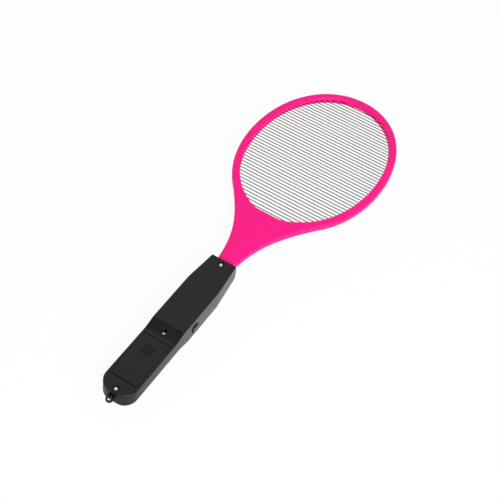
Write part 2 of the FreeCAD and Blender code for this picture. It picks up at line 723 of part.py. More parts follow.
def handle_front_shell():
    """Deep half of the casing: it holds the board, the cells, the button and the eyelet."""
    shell = SKIN.common(slab(-FAR, SEAM_Z)).cut(HOLLOW)
    lip = casing(CASE_WALL / 2 + LIP_GAP).cut(HOLLOW).common(slab(SEAM_Z, SEAM_Z + LIP_HEIGHT))
    additions = [lip]
    for y in SCREW_SEATS:
        additions.append(upright(0, y, BOSS_RADIUS, -FRONT_DEEP, BOSS_MEET_Z))
    for y in (BAY_HEAD_Y - BAY_WALL, BAY_TAIL_Y):
        wall = block((-GRIP_HALF_WIDTH, GRIP_HALF_WIDTH), (y, y + BAY_WALL), (-FRONT_DEEP, BAY_WALL_TOP))
        additions.append(wall)
    cells = cell_space(CRADLE_GAP)
    bay_length = BAY_TAIL_Y - BAY_HEAD_Y
    for index in range(CRADLE_COUNT):
        y = BAY_HEAD_Y + bay_length * (index + 1) / (CRADLE_COUNT + 1)
        rib = block(
            (-GRIP_HALF_WIDTH, GRIP_HALF_WIDTH), (y - BAY_WALL / 2, y + BAY_WALL / 2), (-FRONT_DEEP, CRADLE_TOP)
        )
        additions.append(rib.cut(cells))
    for x, y in POSTS:
        additions.append(upright(x, y, POST_RADIUS, -FRONT_DEEP, BOARD_BOTTOM))
    flange_half = BUTTON_LENGTH / 2 + BUTTON_GAP + FLANGE_MARGIN + GUIDE_GAP
    for y in (BUTTON_Y - flange_half - GUIDE_THICKNESS, BUTTON_Y + flange_half):
        guide = block((INNER_X - GUIDE_REACH, GRIP_HALF_WIDTH), (y, y + GUIDE_THICKNESS), (-FRONT_DEEP, SEAM_Z))
        additions.append(guide)
    inside = SKIN.common(casing(CASE_WALL / 2))
    shell = shell.fuse([piece.common(inside) for piece in additions]).removeSplitter()
    eyelet = block((-EYELET_RADIUS, EYELET_RADIUS), (HANDLE_END - CASE_WALL, EYELET_Y), eyelet_heights())
    eyelet = eyelet.fuse(upright(0, EYELET_Y, EYELET_RADIUS, *eyelet_heights()))
    shell = shell.fuse(eyelet.cut(HOLLOW)).removeSplitter()
    cuts = [neck_slot(), seam_reveal(), button_hole()]
    cuts.append(upright(0, EYELET_Y, EYELET_HOLE_RADIUS, -FAR, FAR))
    cuts.append(upright(0, LED_Y, LED_RADIUS + LED_HOLE_GAP, -FAR, 0))
    for y, seat in SCREW_SEATS.items():
        cuts.append(upright(0, y, SCREW_RADIUS + SCREW_THREAD_GAP, seat - SCREW_LENGTH, BOSS_MEET_Z))
    for x, y in BOARD_SCREW_PLACES:
        radius = BOARD_SCREW_RADIUS + BOARD_SCREW_THREAD_GAP
        cuts.append(upright(x, y, radius, BOARD_TOP - BOARD_SCREW_LENGTH, BOARD_BOTTOM))
    return shell.cut(cuts).Solids[0]


def eyelet_heights():
    """Lower and upper face of the eyelet."""
    return EYELET_TOP - EYELET_THICKNESS, EYELET_TOP


def handle_rear_shell():
    """Shallow half of the casing, with the screw recesses and the battery door's hole."""
    shell = SKIN.common(slab(SEAM_Z, FAR)).cut(HOLLOW)
    shell = shell.cut(casing(CASE_WALL / 2).common(slab(SEAM_Z - LIP_GAP, SEAM_Z + LIP_HEIGHT + LIP_GAP)))
    inside = SKIN.common(slab(BOSS_MEET_Z, FAR))
    additions = []
    for y, seat in SCREW_SEATS.items():
        low = seat - CASE_WALL
        additions.append(upright(0, y, BOSS_RADIUS, BOSS_MEET_Z, FAR).common(inside))
        additions.append(upright(0, y, RECESS_BOSS_RADIUS, low, FAR).common(inside))
    for x in (-DOOR_HOLE_HALF_WIDTH, DOOR_HOLE_HALF_WIDTH - LEDGE_WIDTH):
        ledge = block(
            (x, x + LEDGE_WIDTH), (DOOR_HEAD_Y - LEDGE_WIDTH, DOOR_HEAD_Y + LEDGE_REACH),
            (DOOR_BOTTOM - LEDGE_THICKNESS, DOOR_BOTTOM),
        )
        additions.append(ledge)
    door_hole = block((-DOOR_HOLE_HALF_WIDTH, DOOR_HOLE_HALF_WIDTH), (DOOR_HEAD_Y, DOOR_TAIL_Y), (SEAM_Z, FAR))
    step_groove = block(
        (-FAR, FAR),
        (BACK_STEP_Y - STEP_GROOVE_WIDTH / 2, BACK_STEP_Y + STEP_GROOVE_WIDTH / 2),
        (BACK_HIGH - STEP_GROOVE_DEPTH, FAR),
    )
    cuts = [neck_slot(), seam_reveal(), step_groove]
    for y, seat in SCREW_SEATS.items():
        cuts.append(upright(0, y, SCREW_RECESS_RADIUS, seat, FAR))
        cuts.append(upright(0, y, SCREW_CLEARANCE_RADIUS, -FAR, FAR))
    for x in hook_spans():
        pocket = block(
            (x[0] - HOOK_POCKET_GAP, x[1] + HOOK_POCKET_GAP),
            (DOOR_TAIL_Y, DOOR_TAIL_Y + HOOK_REACH + HOOK_POCKET_GAP),
            (SEAM_Z, BACK_LOW - HOOK_DROP + HOOK_POCKET_GAP / 2),
        )
        cuts.append(pocket)
    shell = shell.cut(door_hole).fuse(additions).removeSplitter()
    return shell.cut(cuts).Solids[0]


# ---- batteries --------------------------------------------------------------------------------------
def cell_space(gap):
    """The two cells' round space, with a gap all round."""
    start = Vec(-CELL_X, -BAY_TAIL_Y, CELL_Z)
    length = BAY_TAIL_Y - BAY_HEAD_Y
    left = Part.makeCylinder(CELL_RADIUS + gap, length, start, Vec(0, 1, 0))
    return left.fuse(mirrored(left))


def battery_cell(side):
    """One cell: the left one has its nub at the head, the right one at the tail."""
    if side < 0:
        base = Vec(side * CELL_X, -(HEAD_PLATE_FACE + CELL_LENGTH), CELL_Z)
        up = Vec(0, 1, 0)
    else:
        base = Vec(side * CELL_X, -(TAIL_PLATE_FACE - CELL_LENGTH), CELL_Z)
        up = Vec(0, -1, 0)
    can = Part.makeCylinder(CELL_RADIUS, CELL_BODY, base, up)
    can = can.makeFillet(CELL_NUB_LENGTH / 2, [edge for edge in can.Edges if edge.Closed])
    nub = Part.makeCylinder(CELL_NUB_RADIUS, CELL_NUB_LENGTH, base + up * CELL_BODY, up)
    return fused([can, nub])


def coil_point(turn):
    """Point on the axis of the spring's wire, a number of turns from its base."""
    angle = 2 * math.pi * turn
    along = turn / SPRING_TURNS
    radius = SPRING_BASE_RADIUS + (SPRING_TIP_RADIUS - SPRING_BASE_RADIUS) * along
    height = (SPRING_LENGTH - 2 * SPRING_WIRE_RADIUS) * along
    return Vec(radius * math.cos(angle), radius * math.sin(angle), SPRING_WIRE_RADIUS + height)


def coil_direction(turn):
    """Direction of the spring's wire at that point."""
    return (coil_point(turn + COIL_PROBE) - coil_point(turn - COIL_PROBE)).normalize()


def coil():
    """Cone spring on the Z axis, base down, drawn as a curve for each quarter turn."""
    edges = []
    for index in range(4 * SPRING_TURNS):
        start, middle, end = index / 4, (index + 0.5) / 4, (index + 1) / 4
        curve = Part.BSplineCurve()
        curve.interpolate(
            Points=[coil_point(start), coil_point(middle), coil_point(end)],
            InitialTangent=coil_direction(start),
            FinalTangent=coil_direction(end),
        )
        edges.append(curve.toShape())
    section = Part.Wire(Part.makeCircle(SPRING_WIRE_RADIUS, coil_point(0), coil_direction(0)))
    return Part.Wire(edges).makePipeShell([section], True, True).Solids[0]


def contact_springs():
    """Cone springs that press on the flat end of each cell."""
    springs = []
    for x, y, turn in ((-CELL_X, TAIL_PLATE_FACE, -90), (CELL_X, HEAD_PLATE_FACE, 90)):
        spring = coil()
        spring.rotate(Vec(0, 0, 0), Vec(1, 0, 0), turn)
        spring.translate(Vec(x, -y, CELL_Z))
        springs.append(spring)
    return Part.makeCompound(springs)


def tail_contact_plate():
    """Plate that joins the two cells at the tail."""
    return block(
        (-CONTACT_HALF_SPAN, CONTACT_HALF_SPAN), (TAIL_PLATE_FACE, BAY_TAIL_Y), (CONTACT_BOTTOM, CONTACT_TOP)
    )


def head_contact_plate(side):
    """Plate for one cell at the head, with a tab for its lead."""
    plate = block(
        (CONTACT_MIDDLE_GAP / 2, CONTACT_HALF_SPAN), (BAY_HEAD_Y, HEAD_PLATE_FACE), (CONTACT_BOTTOM, CONTACT_TOP)
    )
    tab = block(
        (CELL_X - CONTACT_TAB_WIDTH / 2, CELL_X + CONTACT_TAB_WIDTH / 2),
        (BAY_HEAD_Y, HEAD_PLATE_FACE),
        (CONTACT_TOP, CONTACT_TAB_TOP),
    )
    plate = fused([plate, tab])
    return mirrored(plate) if side < 0 else plate


def hook_spans():
    """The x range of each hook on the door."""
    right = (HOOK_INNER_X, HOOK_INNER_X + HOOK_WIDTH)
    return (-right[1], -right[0]), right


def battery_door():
    """Flat door with a ribbed thumb patch; its tail edge hooks under the casing."""
    half_width = DOOR_HOLE_HALF_WIDTH - DOOR_SIDE_GAP
    head = DOOR_HEAD_Y + DOOR_HEAD_GAP
    tail = DOOR_TAIL_Y - DOOR_TAIL_GAP
    points = [(-half_width, head), (-half_width, tail), (half_width, tail), (half_width, head)]
    outline = Part.Face(rounded_wire(points, [DOOR_CORNER] * 4, in_plan))
    door = raised(outline, DOOR_BOTTOM, BACK_LOW)
    patch_y = (GRIP_PATCH_Y - GRIP_PATCH_LENGTH / 2, GRIP_PATCH_Y + GRIP_PATCH_LENGTH / 2)
    patch = block(
        (-GRIP_PATCH_WIDTH / 2, GRIP_PATCH_WIDTH / 2), patch_y, (BACK_LOW - GRIP_PATCH_DEPTH, BACK_LOW)
    )
    pitch = GRIP_PATCH_LENGTH / GRIP_RIB_COUNT
    ribs = []
    for index in range(GRIP_RIB_COUNT):
        y = patch_y[0] + pitch * (index + 0.5)
        rib = block(
            (-GRIP_PATCH_WIDTH / 2, GRIP_PATCH_WIDTH / 2),
            (y - GRIP_RIB_WIDTH / 2, y + GRIP_RIB_WIDTH / 2),
            (BACK_LOW - GRIP_PATCH_DEPTH, BACK_LOW),
        )
        ribs.append(rib)
    arrow_points = [
        (0, ARROW_Y + ARROW_LENGTH / 2),
        (ARROW_WIDTH / 2, ARROW_Y - ARROW_LENGTH / 2),
        (-ARROW_WIDTH / 2, ARROW_Y - ARROW_LENGTH / 2),
    ]
    arrow = raised(Part.Face(rounded_wire(arrow_points, [0, 0, 0], in_plan)), BACK_LOW - ARROW_DEPTH, BACK_LOW)
    door = door.cut([patch.cut(ribs), arrow])
    hooks = []
    top = BACK_LOW - HOOK_DROP
    for x in hook_spans():
        hooks.append(block(x, (tail - 2 * HOOK_REACH, DOOR_TAIL_Y + HOOK_REACH), (top - HOOK_THICKNESS, top)))
    return fused([door] + hooks)


# ---- button and switch ------------------------------------------------------------------------------
def push_button():
    """Side button: a cap in the wall, a flange behind it and a stem to the switch."""
    cap_end = GRIP_HALF_WIDTH + BUTTON_PROUD
    cap = button_block(0, FLANGE_OUTER_X, cap_end, BUTTON_CORNER)
    rim = [edge for edge in cap.Edges if edge.BoundBox.XMin > cap_end - 1e-6]
    cap = cap.makeFillet(BUTTON_EDGE_ROUND, rim)
    flange = button_block(BUTTON_GAP + FLANGE_MARGIN, FLANGE_INNER_X, FLANGE_OUTER_X, BUTTON_CORNER)
    stem = Part.makeCylinder(STEM_RADIUS, STEM_LENGTH, Vec(STEM_END_X, -BUTTON_Y, BUTTON_Z), Vec(1, 0, 0))
    return fused([cap, flange, stem])


def switch_plunger():
    """Round plunger that the button's stem presses."""
    start = Vec(SWITCH_FACE_X - PLUNGER_HIDDEN, -BUTTON_Y, BUTTON_Z)
    return Part.makeCylinder(PLUNGER_RADIUS, PLUNGER_HIDDEN + PLUNGER_REACH, start, Vec(1, 0, 0))


def switch_body():
    """Box of the push switch, standing on the board."""
    top = 2 * BUTTON_Z - BOARD_TOP
    body = block(
        (SWITCH_FACE_X - SWITCH_DEPTH, SWITCH_FACE_X),
        (BUTTON_Y - SWITCH_LENGTH / 2, BUTTON_Y + SWITCH_LENGTH / 2),
        (BOARD_TOP, top),
    )
    depth = PLUNGER_HIDDEN + BUTTON_TRAVEL + PLUNGER_GAP
    bore = Part.makeCylinder(
        PLUNGER_RADIUS + PLUNGER_FIT, depth, Vec(SWITCH_FACE_X - depth, -BUTTON_Y, BUTTON_Z), Vec(1, 0, 0)
    )
    return body.cut(bore)


# ---- board and its parts ----------------------------------------------------------------------------
def circuit_board():
    """Bare board with a hole for each screw."""
    board = block((BOARD_LEFT, BOARD_RIGHT), (BOARD_HEAD_Y, BOARD_TAIL_Y), (BOARD_BOTTOM, BOARD_TOP))
    holes = [upright(x, y, BOARD_HOLE_RADIUS, BOARD_BOTTOM, BOARD_TOP) for x, y in BOARD_SCREW_PLACES]
    return board.cut(holes)


def cross_screw(x, y, seat, shank_radius, length, head_radius, head_height):
    """Pan-head screw pointing down, with a cross recess in its head."""
    shank = upright(x, y, shank_radius, seat - length, seat)
    head = upright(x, y, head_radius, seat, seat + head_height)
    rim = [edge for edge in head.Edges if edge.Closed and edge.CenterOfMass.z > seat + head_height / 2]
    head = head.makeFillet(head_height / 2, rim)
    screw = fused([shank, head])
    size = head_radius / SCREW_HEAD_RADIUS
    half_length = CROSS_SLOT_LENGTH * size / 2
    half_width = CROSS_SLOT_WIDTH * size / 2
    heights = (seat + head_height - CROSS_SLOT_DEPTH * size, seat + head_height)
    slots = [
        block((x - half_length, x + half_length), (y - half_width, y + half_width), heights),
        block((x - half_width, x + half_width), (y - half_length, y + half_length), heights),
    ]
    return screw.cut(slots)


def case_screws():
    """The three screws that hold the casing and the hoop's tenon together."""
    return Part.makeCompound([
        cross_screw(0, y, seat, SCREW_RADIUS, SCREW_LENGTH, SCREW_HEAD_RADIUS, SCREW_HEAD_HEIGHT)
        for y, seat in SCREW_SEATS.items()
    ])


def board_screws():
    """Two small screws through the board into its posts."""
    return Part.makeCompound([
        cross_screw(
            x, y, BOARD_TOP, BOARD_SCREW_RADIUS, BOARD_SCREW_LENGTH, BOARD_SCREW_HEAD_RADIUS,
            BOARD_SCREW_HEAD_HEIGHT,
        )
        for x, y in BOARD_SCREW_PLACES
    ])


def standing_block(x, y, size, stand_off, corner):
    """Dipped or boxed part on two leads, its long side along X."""
    low = BOARD_TOP + stand_off
    body = block((x - size[0] / 2, x + size[0] / 2), (y - size[1] / 2, y + size[1] / 2), (low, low + size[2]))
    body = body.makeFillet(corner, body.Edges)
    if stand_off == 0:
        return body
    leads = [
        upright(x + shift, y, COMPONENT_LEAD_RADIUS, BOARD_TOP, low + size[2] / 2)
        for shift in (-size[0] / 4, size[0] / 4)
    ]
    return fused([body] + leads)


def storage_capacitor():
    """Boxed film capacitor that stores the grid's charge."""
    return standing_block(0, STORAGE_Y, STORAGE_SIZE, COMPONENT_STAND_OFF, 1.0)


def pump_capacitors():
    """Dipped capacitors of the voltage multiplier."""
    return Part.makeCompound([
        standing_block(
            PUMP_CAPACITOR_X, PUMP_CAPACITOR_FIRST_Y + index * PUMP_CAPACITOR_PITCH,
            PUMP_CAPACITOR_SIZE, COMPONENT_STAND_OFF, PUMP_CAPACITOR_SIZE[1] * 0.4,
        )
        for index in range(PUMP_CAPACITOR_COUNT)
    ])


def core_middle():
    """Height of the transformer core's middle."""
    return BOARD_TOP + WINDING_HEIGHT / 2


def transformer_core():
    """Ferrite core: two yokes across and three legs along X."""
    half = [side / 2 for side in CORE_SIZE]
    z = (core_middle() - half[2], core_middle() + half[2])
    core = block((-half[0], half[0]), (TRANSFORMER_Y - half[1], TRANSFORMER_Y + half[1]), z)
    windows = []
    for side in (-1, 1):
        edges = sorted((side * CORE_CENTRE_LEG / 2, side * (half[1] - CORE_OUTER_LEG)))
        window = block(
            (-half[0] + CORE_YOKE, half[0] - CORE_YOKE),
            (TRANSFORMER_Y + edges[0], TRANSFORMER_Y + edges[1]),
            z,
        )
        windows.append(window)
    return core.cut(windows)


def transformer_winding():
    """Taped winding round the core's centre leg."""
    half_x = CORE_SIZE[0] / 2 - CORE_YOKE - WINDING_MARGIN
    half_y = CORE_SIZE[1] / 2 - CORE_OUTER_LEG - WINDING_MARGIN
    z = (BOARD_TOP, BOARD_TOP + WINDING_HEIGHT)
    winding = block((-half_x, half_x), (TRANSFORMER_Y - half_y, TRANSFORMER_Y + half_y), z)
    winding = winding.makeFillet(1.2, [edge for edge in winding.Edges if runs_along(edge, Vec(1, 0, 0))])
    leg_y = CORE_CENTRE_LEG / 2 + WINDING_MARGIN / 2
    leg_z = CORE_SIZE[2] / 2 + WINDING_MARGIN / 2
    leg = block(
        (-half_x, half_x),
        (TRANSFORMER_Y - leg_y, TRANSFORMER_Y + leg_y),
        (core_middle() - leg_z, core_middle() + leg_z),
    )
    return winding.cut(leg)


def lying_part(x, y, radius, length, span):
    """Round part lying along Y just over the board, with both leads bent down to it."""
    height = BOARD_TOP + radius + COMPONENT_LEAD_RADIUS
    body = Part.makeCylinder(radius, length, Vec(x, -y - length / 2, height), Vec(0, 1, 0))
    lead = Part.makeCylinder(COMPONENT_LEAD_RADIUS, span, Vec(x, -y - span / 2, height), Vec(0, 1, 0))
    legs = []
    for end in (-1, 1):
        legs.append(upright(x, y + end * span / 2, COMPONENT_LEAD_RADIUS, BOARD_TOP, height))
        legs.append(Part.makeSphere(COMPONENT_LEAD_RADIUS, Vec(x, -y - end * span / 2, height)))
    return fused([body, lead] + legs)


def rectifier_diodes():
    """Diodes of the voltage multiplier."""
    return Part.makeCompound([
        lying_part(x, y, DIODE_RADIUS, DIODE_LENGTH, DIODE_LEAD_SPAN) for x in DIODE_COLUMNS for y in DIODE_ROWS
    ])


def resistors():
    """Base and bleed resistors."""
    return Part.makeCompound([
        lying_part(x, RESISTOR_ROW, RESISTOR_RADIUS, RESISTOR_LENGTH, RESISTOR_LEAD_SPAN)
        for x in RESISTOR_COLUMNS
    ])


def transistor():
    """Small transistor with a flat side, on three leads."""
    x, y = TRANSISTOR_X, BOARD_TAIL_Y - TRANSISTOR_INSET
    low = BOARD_TOP + COMPONENT_STAND_OFF
    body = upright(x, y, TRANSISTOR_RADIUS, low, low + TRANSISTOR_HEIGHT)
    body = body.cut(block((x + TRANSISTOR_FLAT, x + FAR), (y - FAR, y + FAR), (-FAR, FAR)))
    legs = [
        upright(x, y + shift, COMPONENT_LEAD_RADIUS, BOARD_TOP, low + TRANSISTOR_HEIGHT / 2)
        for shift in (-TRANSISTOR_FLAT, 0, TRANSISTOR_FLAT)
    ]
    return fused([body] + legs)


def indicator_led():
    """Round lamp under the board; its dome stands in a hole in the front face."""
    top = BOARD_BOTTOM - LED_STAND_OFF
    tip = -FRONT_DEEP + LED_SET_BACK
    barrel = upright(0, LED_Y, LED_RADIUS, tip + LED_RADIUS, top)
    dome = Part.makeSphere(LED_RADIUS, Vec(0, -LED_Y, tip + LED_RADIUS))
    flange = upright(0, LED_Y, LED_FLANGE_RADIUS, top - LED_FLANGE_HEIGHT, top)
    legs = [
        upright(shift, LED_Y, COMPONENT_LEAD_RADIUS, top - LED_FLANGE_HEIGHT, BOARD_BOTTOM)
        for shift in (-LED_RADIUS / 2, LED_RADIUS / 2)
    ]
    return fused([barrel, dome, flange] + legs)


# ---- leads ------------------------------------------------------------------------------------------
def grid_lead(side):
    """Insulated lead from the board through the tenon and the neck to one strip."""
    on_board = BOARD_TOP + LEAD_RADIUS
    in_neck = LEAD_RADIUS - WIRE_RADIUS
    strip_x = STRIP_NECK_GAP + 2 * LEAD_RADIUS
    strip_line = Part.makeLine(Vec(strip_x, -2 * FAR, 0), Vec(strip_x, 0, 0)).common(oval(STRIP_OUTSET))
    strip_y = strip_line.BoundBox.YMin
    points = [
        (LEAD_CHANNEL_X, -BOARD_HEAD_Y - POST_INSET_Y, on_board),
        (LEAD_CHANNEL_X, -BOARD_HEAD_Y + LEAD_RADIUS, on_board),
        (LEAD_CHANNEL_X, -TENON_END - 3 * LEAD_RADIUS, in_neck),
        (LEAD_CHANNEL_X, -HANDLE_START + 4 * NECK_OVERLAP, in_neck),
        (LEAD_CHANNEL_X + LEAD_RADIUS, -(HANDLE_START + HOOP_HALF_LENGTH) / 2, in_neck),
        (strip_x - 3 * LEAD_RADIUS, -(HOOP_HALF_LENGTH + STRIP_NECK_GAP), in_neck),
        (strip_x, strip_y, in_neck),
    ]
    return routed_tube([(side * x, y, z) for x, y, z in points], LEAD_RADIUS)


def battery_lead(side):
    """Insulated lead from one head contact past the middle screw to the board."""
    on_board = BOARD_TOP + LEAD_RADIUS
    over_wall = (CONTACT_TOP + CONTACT_TAB_TOP) / 2
    board_x = -LEAD_CHANNEL_X - 2 * LEAD_RADIUS if side < 0 else LEAD_CHANNEL_X - 2 * LEAD_RADIUS
    points = [
        (side * CELL_X, -BAY_HEAD_Y, over_wall),
        (side * CELL_X, -MIDDLE_SCREW_Y - BOSS_RADIUS, over_wall),
        (board_x, -BOARD_TAIL_Y - BOSS_RADIUS, on_board),
        (board_x, -BOARD_TAIL_Y + POST_INSET_Y, on_board),
    ]
    return routed_tube(points, LEAD_RADIUS)


# ---- all pieces -------------------------------------------------------------------------------------
NODES = {
    "frame_back": lambda: hoop_half(1),
    "frame_front": lambda: hoop_half(-1),
    "grid_wires_left": lambda: grid_wires(-1),
    "grid_wires_right": lambda: grid_wires(1),
    "bus_strip_left": lambda: bus_strip(-1),
    "bus_strip_right": lambda: bus_strip(1),
    "grid_lead_left": lambda: grid_lead(-1),
    "grid_lead_right": lambda: grid_lead(1),
    "handle_front_shell": handle_front_shell,
    "handle_rear_shell": handle_rear_shell,
    "case_screws": case_screws,
    "battery_door": battery_door,
    "battery_cell_left": lambda: battery_cell(-1),
    "battery_cell_right": lambda: battery_cell(1),
    "contact_springs": contact_springs,
    "tail_contact_plate": tail_contact_plate,
    "head_contact_plate_left": lambda: head_contact_plate(-1),
    "head_contact_plate_right": lambda: head_contact_plate(1),
    "battery_lead_left": lambda: battery_lead(-1),
    "battery_lead_right": lambda: battery_lead(1),
    "push_button": push_button,
    "switch_plunger": switch_plunger,
    "switch_body": switch_body,
    "circuit_board": circuit_board,
    "board_screws": board_screws,
    "storage_capacitor": storage_capacitor,
    "transformer_core": transformer_core,
    "transformer_winding": transformer_winding,
    "pump_capacitors": pump_capacitors,
    "rectifier_diodes": rectifier_diodes,
    "resistors": resistors,
    "transistor": transistor,
    "indicator_led": indicator_led,
}

os.makedirs("parts", exist_ok=True)
for name, make in NODES.items():
    shape = make()
    shape.translate(ORIGIN_SHIFT)
    shape.exportStep(f"parts/{name}.step")
    box = shape.BoundBox
    print(
        f"{name:26s} solids {len(shape.Solids):2d} valid {shape.isValid()} volume {shape.Volume:9.1f}"
        f"  x {box.XMin:.1f} {box.XMax:.1f}  y {box.YMin:.1f} {box.YMax:.1f}  z {box.ZMin:.1f} {box.ZMax:.1f}"
    )
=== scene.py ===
import math

import bpy
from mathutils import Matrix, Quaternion, Vector


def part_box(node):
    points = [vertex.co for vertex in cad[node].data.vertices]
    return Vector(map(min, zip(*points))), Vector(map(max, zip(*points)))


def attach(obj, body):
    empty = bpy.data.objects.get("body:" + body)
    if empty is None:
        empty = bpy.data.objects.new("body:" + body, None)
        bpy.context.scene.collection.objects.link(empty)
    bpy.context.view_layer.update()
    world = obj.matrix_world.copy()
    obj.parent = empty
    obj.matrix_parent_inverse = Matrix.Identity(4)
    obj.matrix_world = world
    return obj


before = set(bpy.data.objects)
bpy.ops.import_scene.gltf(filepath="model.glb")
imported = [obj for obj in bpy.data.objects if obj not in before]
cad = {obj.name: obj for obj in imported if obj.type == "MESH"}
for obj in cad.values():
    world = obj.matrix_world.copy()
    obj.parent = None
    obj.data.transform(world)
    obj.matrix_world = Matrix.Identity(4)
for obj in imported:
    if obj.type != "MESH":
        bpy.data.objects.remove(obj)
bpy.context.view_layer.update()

bpy.ops.object.select_all(action="DESELECT")


# ---- Hoop and neck --------------------------------------------------------------------------------------
# Two injection-moulded halves of pink ABS, welded edge to edge round the grid. The faces come off a blasted
# mould, so they are evenly satin with a fine grain, and the pigment is deep. The weld is a real seam, and its
# thin dark line is painted shade.

# All lengths are in metres, or in millimetres where their name ends in mm.
PLASTIC_IOR = 1.53
FLOW_MM = 35.0
FLOW_SMOOTHER, FLOW_ROUGHER = 0.04, 0.05

# A Mix node's colour sockets share their names with its number sockets, so they go by their places.
SHARE, FIRST_COLOUR, SECOND_COLOUR, MIXED_COLOUR = 0, 6, 7, 2


def linear(hex_colour):
    """An sRGB hex colour as the linear red, green, blue and alpha that a shader takes."""
    channels = [int(hex_colour[place:place + 2], 16) / 255 for place in (0, 2, 4)]
    return [c / 12.92 if c <= 0.04045 else ((c + 0.055) / 1.055) ** 2.4 for c in channels] + [1.0]


def new_material(name):
    """An empty node material and its node tree."""
    material = bpy.data.materials.new(name)
    material.use_nodes = True
    material.node_tree.nodes.clear()
    return material, material.node_tree


def add(tree, kind, inputs=None, **settings):
    """Adds a node with its settings, and fills its inputs with values or with other nodes' outputs."""
    made = tree.nodes.new(kind)
    for name, value in settings.items():
        setattr(made, name, value)
    for name, value in (inputs or {}).items():
        if isinstance(value, bpy.types.NodeSocket):
            tree.links.new(value, made.inputs[name])
        else:
            made.inputs[name].default_value = value
    return made


def colour_stops(ramp, stops):
    """Fills a colour ramp with pairs of a place and a hex colour, in order."""
    elements = ramp.color_ramp.elements
    for element, (place, hex_colour) in zip(elements, (stops[0], stops[-1])):
        element.position = place
        element.color = linear(hex_colour)
    for place, hex_colour in stops[1:-1]:
        elements.new(place).color = linear(hex_colour)


def wear(piece, material):
    """Gives a piece one material all over."""
    piece.data.materials.clear()
    piece.data.materials.append(material)


def moulded_plastic(name, colour, flow_colour, roughness, grain_mm, grain_depth_mm, ior=PLASTIC_IOR):
    """Injection-moulded plastic: pigment that drifts slightly with the flow, under the mould's fine grain."""
    material, tree = new_material(name)
    place = add(tree, "ShaderNodeTexCoord").outputs["Object"]
    flow = add(tree, "ShaderNodeTexNoise", {"Vector": place, "Scale": 1000 / FLOW_MM, "Detail": 3.0})
    drift = add(tree, "ShaderNodeValToRGB", {"Fac": flow.outputs["Fac"]})
    colour_stops(drift, [(0.35, flow_colour), (0.65, colour)])
    gloss = add(tree, "ShaderNodeMapRange", {
        "Value": flow.outputs["Fac"], "To Min": roughness - FLOW_SMOOTHER, "To Max": roughness + FLOW_ROUGHER,
    })
    grain = add(tree, "ShaderNodeTexNoise", {"Vector": place, "Scale": 1000 / grain_mm, "Detail": 2.0})
    bump = add(tree, "ShaderNodeBump", {"Height": grain.outputs["Fac"], "Distance": grain_depth_mm / 1000})
    shader = add(tree, "ShaderNodeBsdfPrincipled", {
        "Base Color": drift.outputs["Color"], "Roughness": gloss.outputs["Result"], "IOR": ior,
        "Normal": bump.outputs["Normal"],
    })
    add(tree, "ShaderNodeOutputMaterial", {"Surface": shader.outputs["BSDF"]})
    return material


def paint_seam_shade(material, weld_height, half_width, seam_shade_colour):
    """Paints a level line of shade in a darker colour round a moulded piece, where two halves are welded."""
    tree = material.node_tree
    place = tree.nodes["Texture Coordinate"].outputs["Object"]
    pigment = tree.nodes["Color Ramp"].outputs["Color"]
    height = add(tree, "ShaderNodeSeparateXYZ", {"Vector": place})
    above = add(tree, "ShaderNodeMath", {0: height.outputs["Z"], 1: weld_height}, operation="SUBTRACT")
    away = add(tree, "ShaderNodeMath", {0: above.outputs["Value"]}, operation="ABSOLUTE")
    # Painted shade: a darker line either side of the plane where the two halves meet.
    seam_shade_mask = add(tree, "ShaderNodeMapRange", {
        "Value": away.outputs["Value"], "From Min": half_width / 2, "From Max": half_width,
        "To Min": 1.0, "To Max": 0.0,
    })
    drawn = add(tree, "ShaderNodeMix", {
        SHARE: seam_shade_mask.outputs["Result"], FIRST_COLOUR: pigment, SECOND_COLOUR: linear(seam_shade_colour),
    }, data_type="RGBA")
    tree.links.new(drawn.outputs[MIXED_COLOUR], tree.nodes["Principled BSDF"].inputs["Base Color"])


# Blasting leaves a grain of about 0.1 mm, drawn here as coarse as it needs to show. It scatters what the
# face would mirror, so the IOR is matched lower than that of a bare gloss ABS.
pink_abs = moulded_plastic(
    "pink_moulded_abs", colour="FF028A", flow_colour="FA0281", roughness=0.45,
    grain_mm=0.7, grain_depth_mm=0.006, ior=1.38,
)
weld_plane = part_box("frame_back")[0].z
# The seam's darker pink line is painted shade where the halves meet.
paint_seam_shade(pink_abs, weld_plane, half_width=0.00018, seam_shade_colour="A0024F")
for node in ("frame_back", "frame_front"):
    wear(cad[node], pink_abs)


# ---- Strips in the hoop ---------------------------------------------------------------------------------
# Two tinned steel strips on edge in the rim's channel, one for each pole. They are slit from sheet, so
# the tin is dull and finely scratched.

TIN = "CFCAC0"
PLATING_SPREAD = 0.06


def plated_metal(name, colour, dull_colour, roughness, grain_mm):
    """Bare or plated metal with a fine grain that dulls it in places."""
    material, tree = new_material(name)
    place = add(tree, "ShaderNodeTexCoord").outputs["Object"]
    grain = add(tree, "ShaderNodeTexNoise", {"Vector": place, "Scale": 1000 / grain_mm, "Detail": 2.0})
    tint = add(tree, "ShaderNodeValToRGB", {"Fac": grain.outputs["Fac"]})
    colour_stops(tint, [(0.3, dull_colour), (0.6, colour)])
    gloss = add(tree, "ShaderNodeMapRange", {
        "Value": grain.outputs["Fac"],
        "To Min": roughness + PLATING_SPREAD, "To Max": roughness - PLATING_SPREAD,
    })
    shader = add(tree, "ShaderNodeBsdfPrincipled", {
        "Base Color": tint.outputs["Color"], "Metallic": 1.0, "Roughness": gloss.outputs["Result"],
    })
    add(tree, "ShaderNodeOutputMaterial", {"Surface": shader.outputs["BSDF"]})
    return material


tinned_steel = plated_metal("tinned_steel", colour=TIN, dull_colour="B4AFA5", roughness=0.36, grain_mm=0.5)
for node in ("bus_strip_left", "bus_strip_right"):
    wear(cad[node], tinned_steel)


# ---- Grid wires -----------------------------------------------------------------------------------------
# Drawn steel wires strung across the hoop, each joined to the left or the right strip and upset to a bead
# at the other side. Drawing leaves fine lines along each wire, and the steel is dark and dull.

WIRE_RUN_MM = 16.0
WIRE_LINE_MM = 0.25         # finer on the real wire, and drawn as coarse as it needs to show

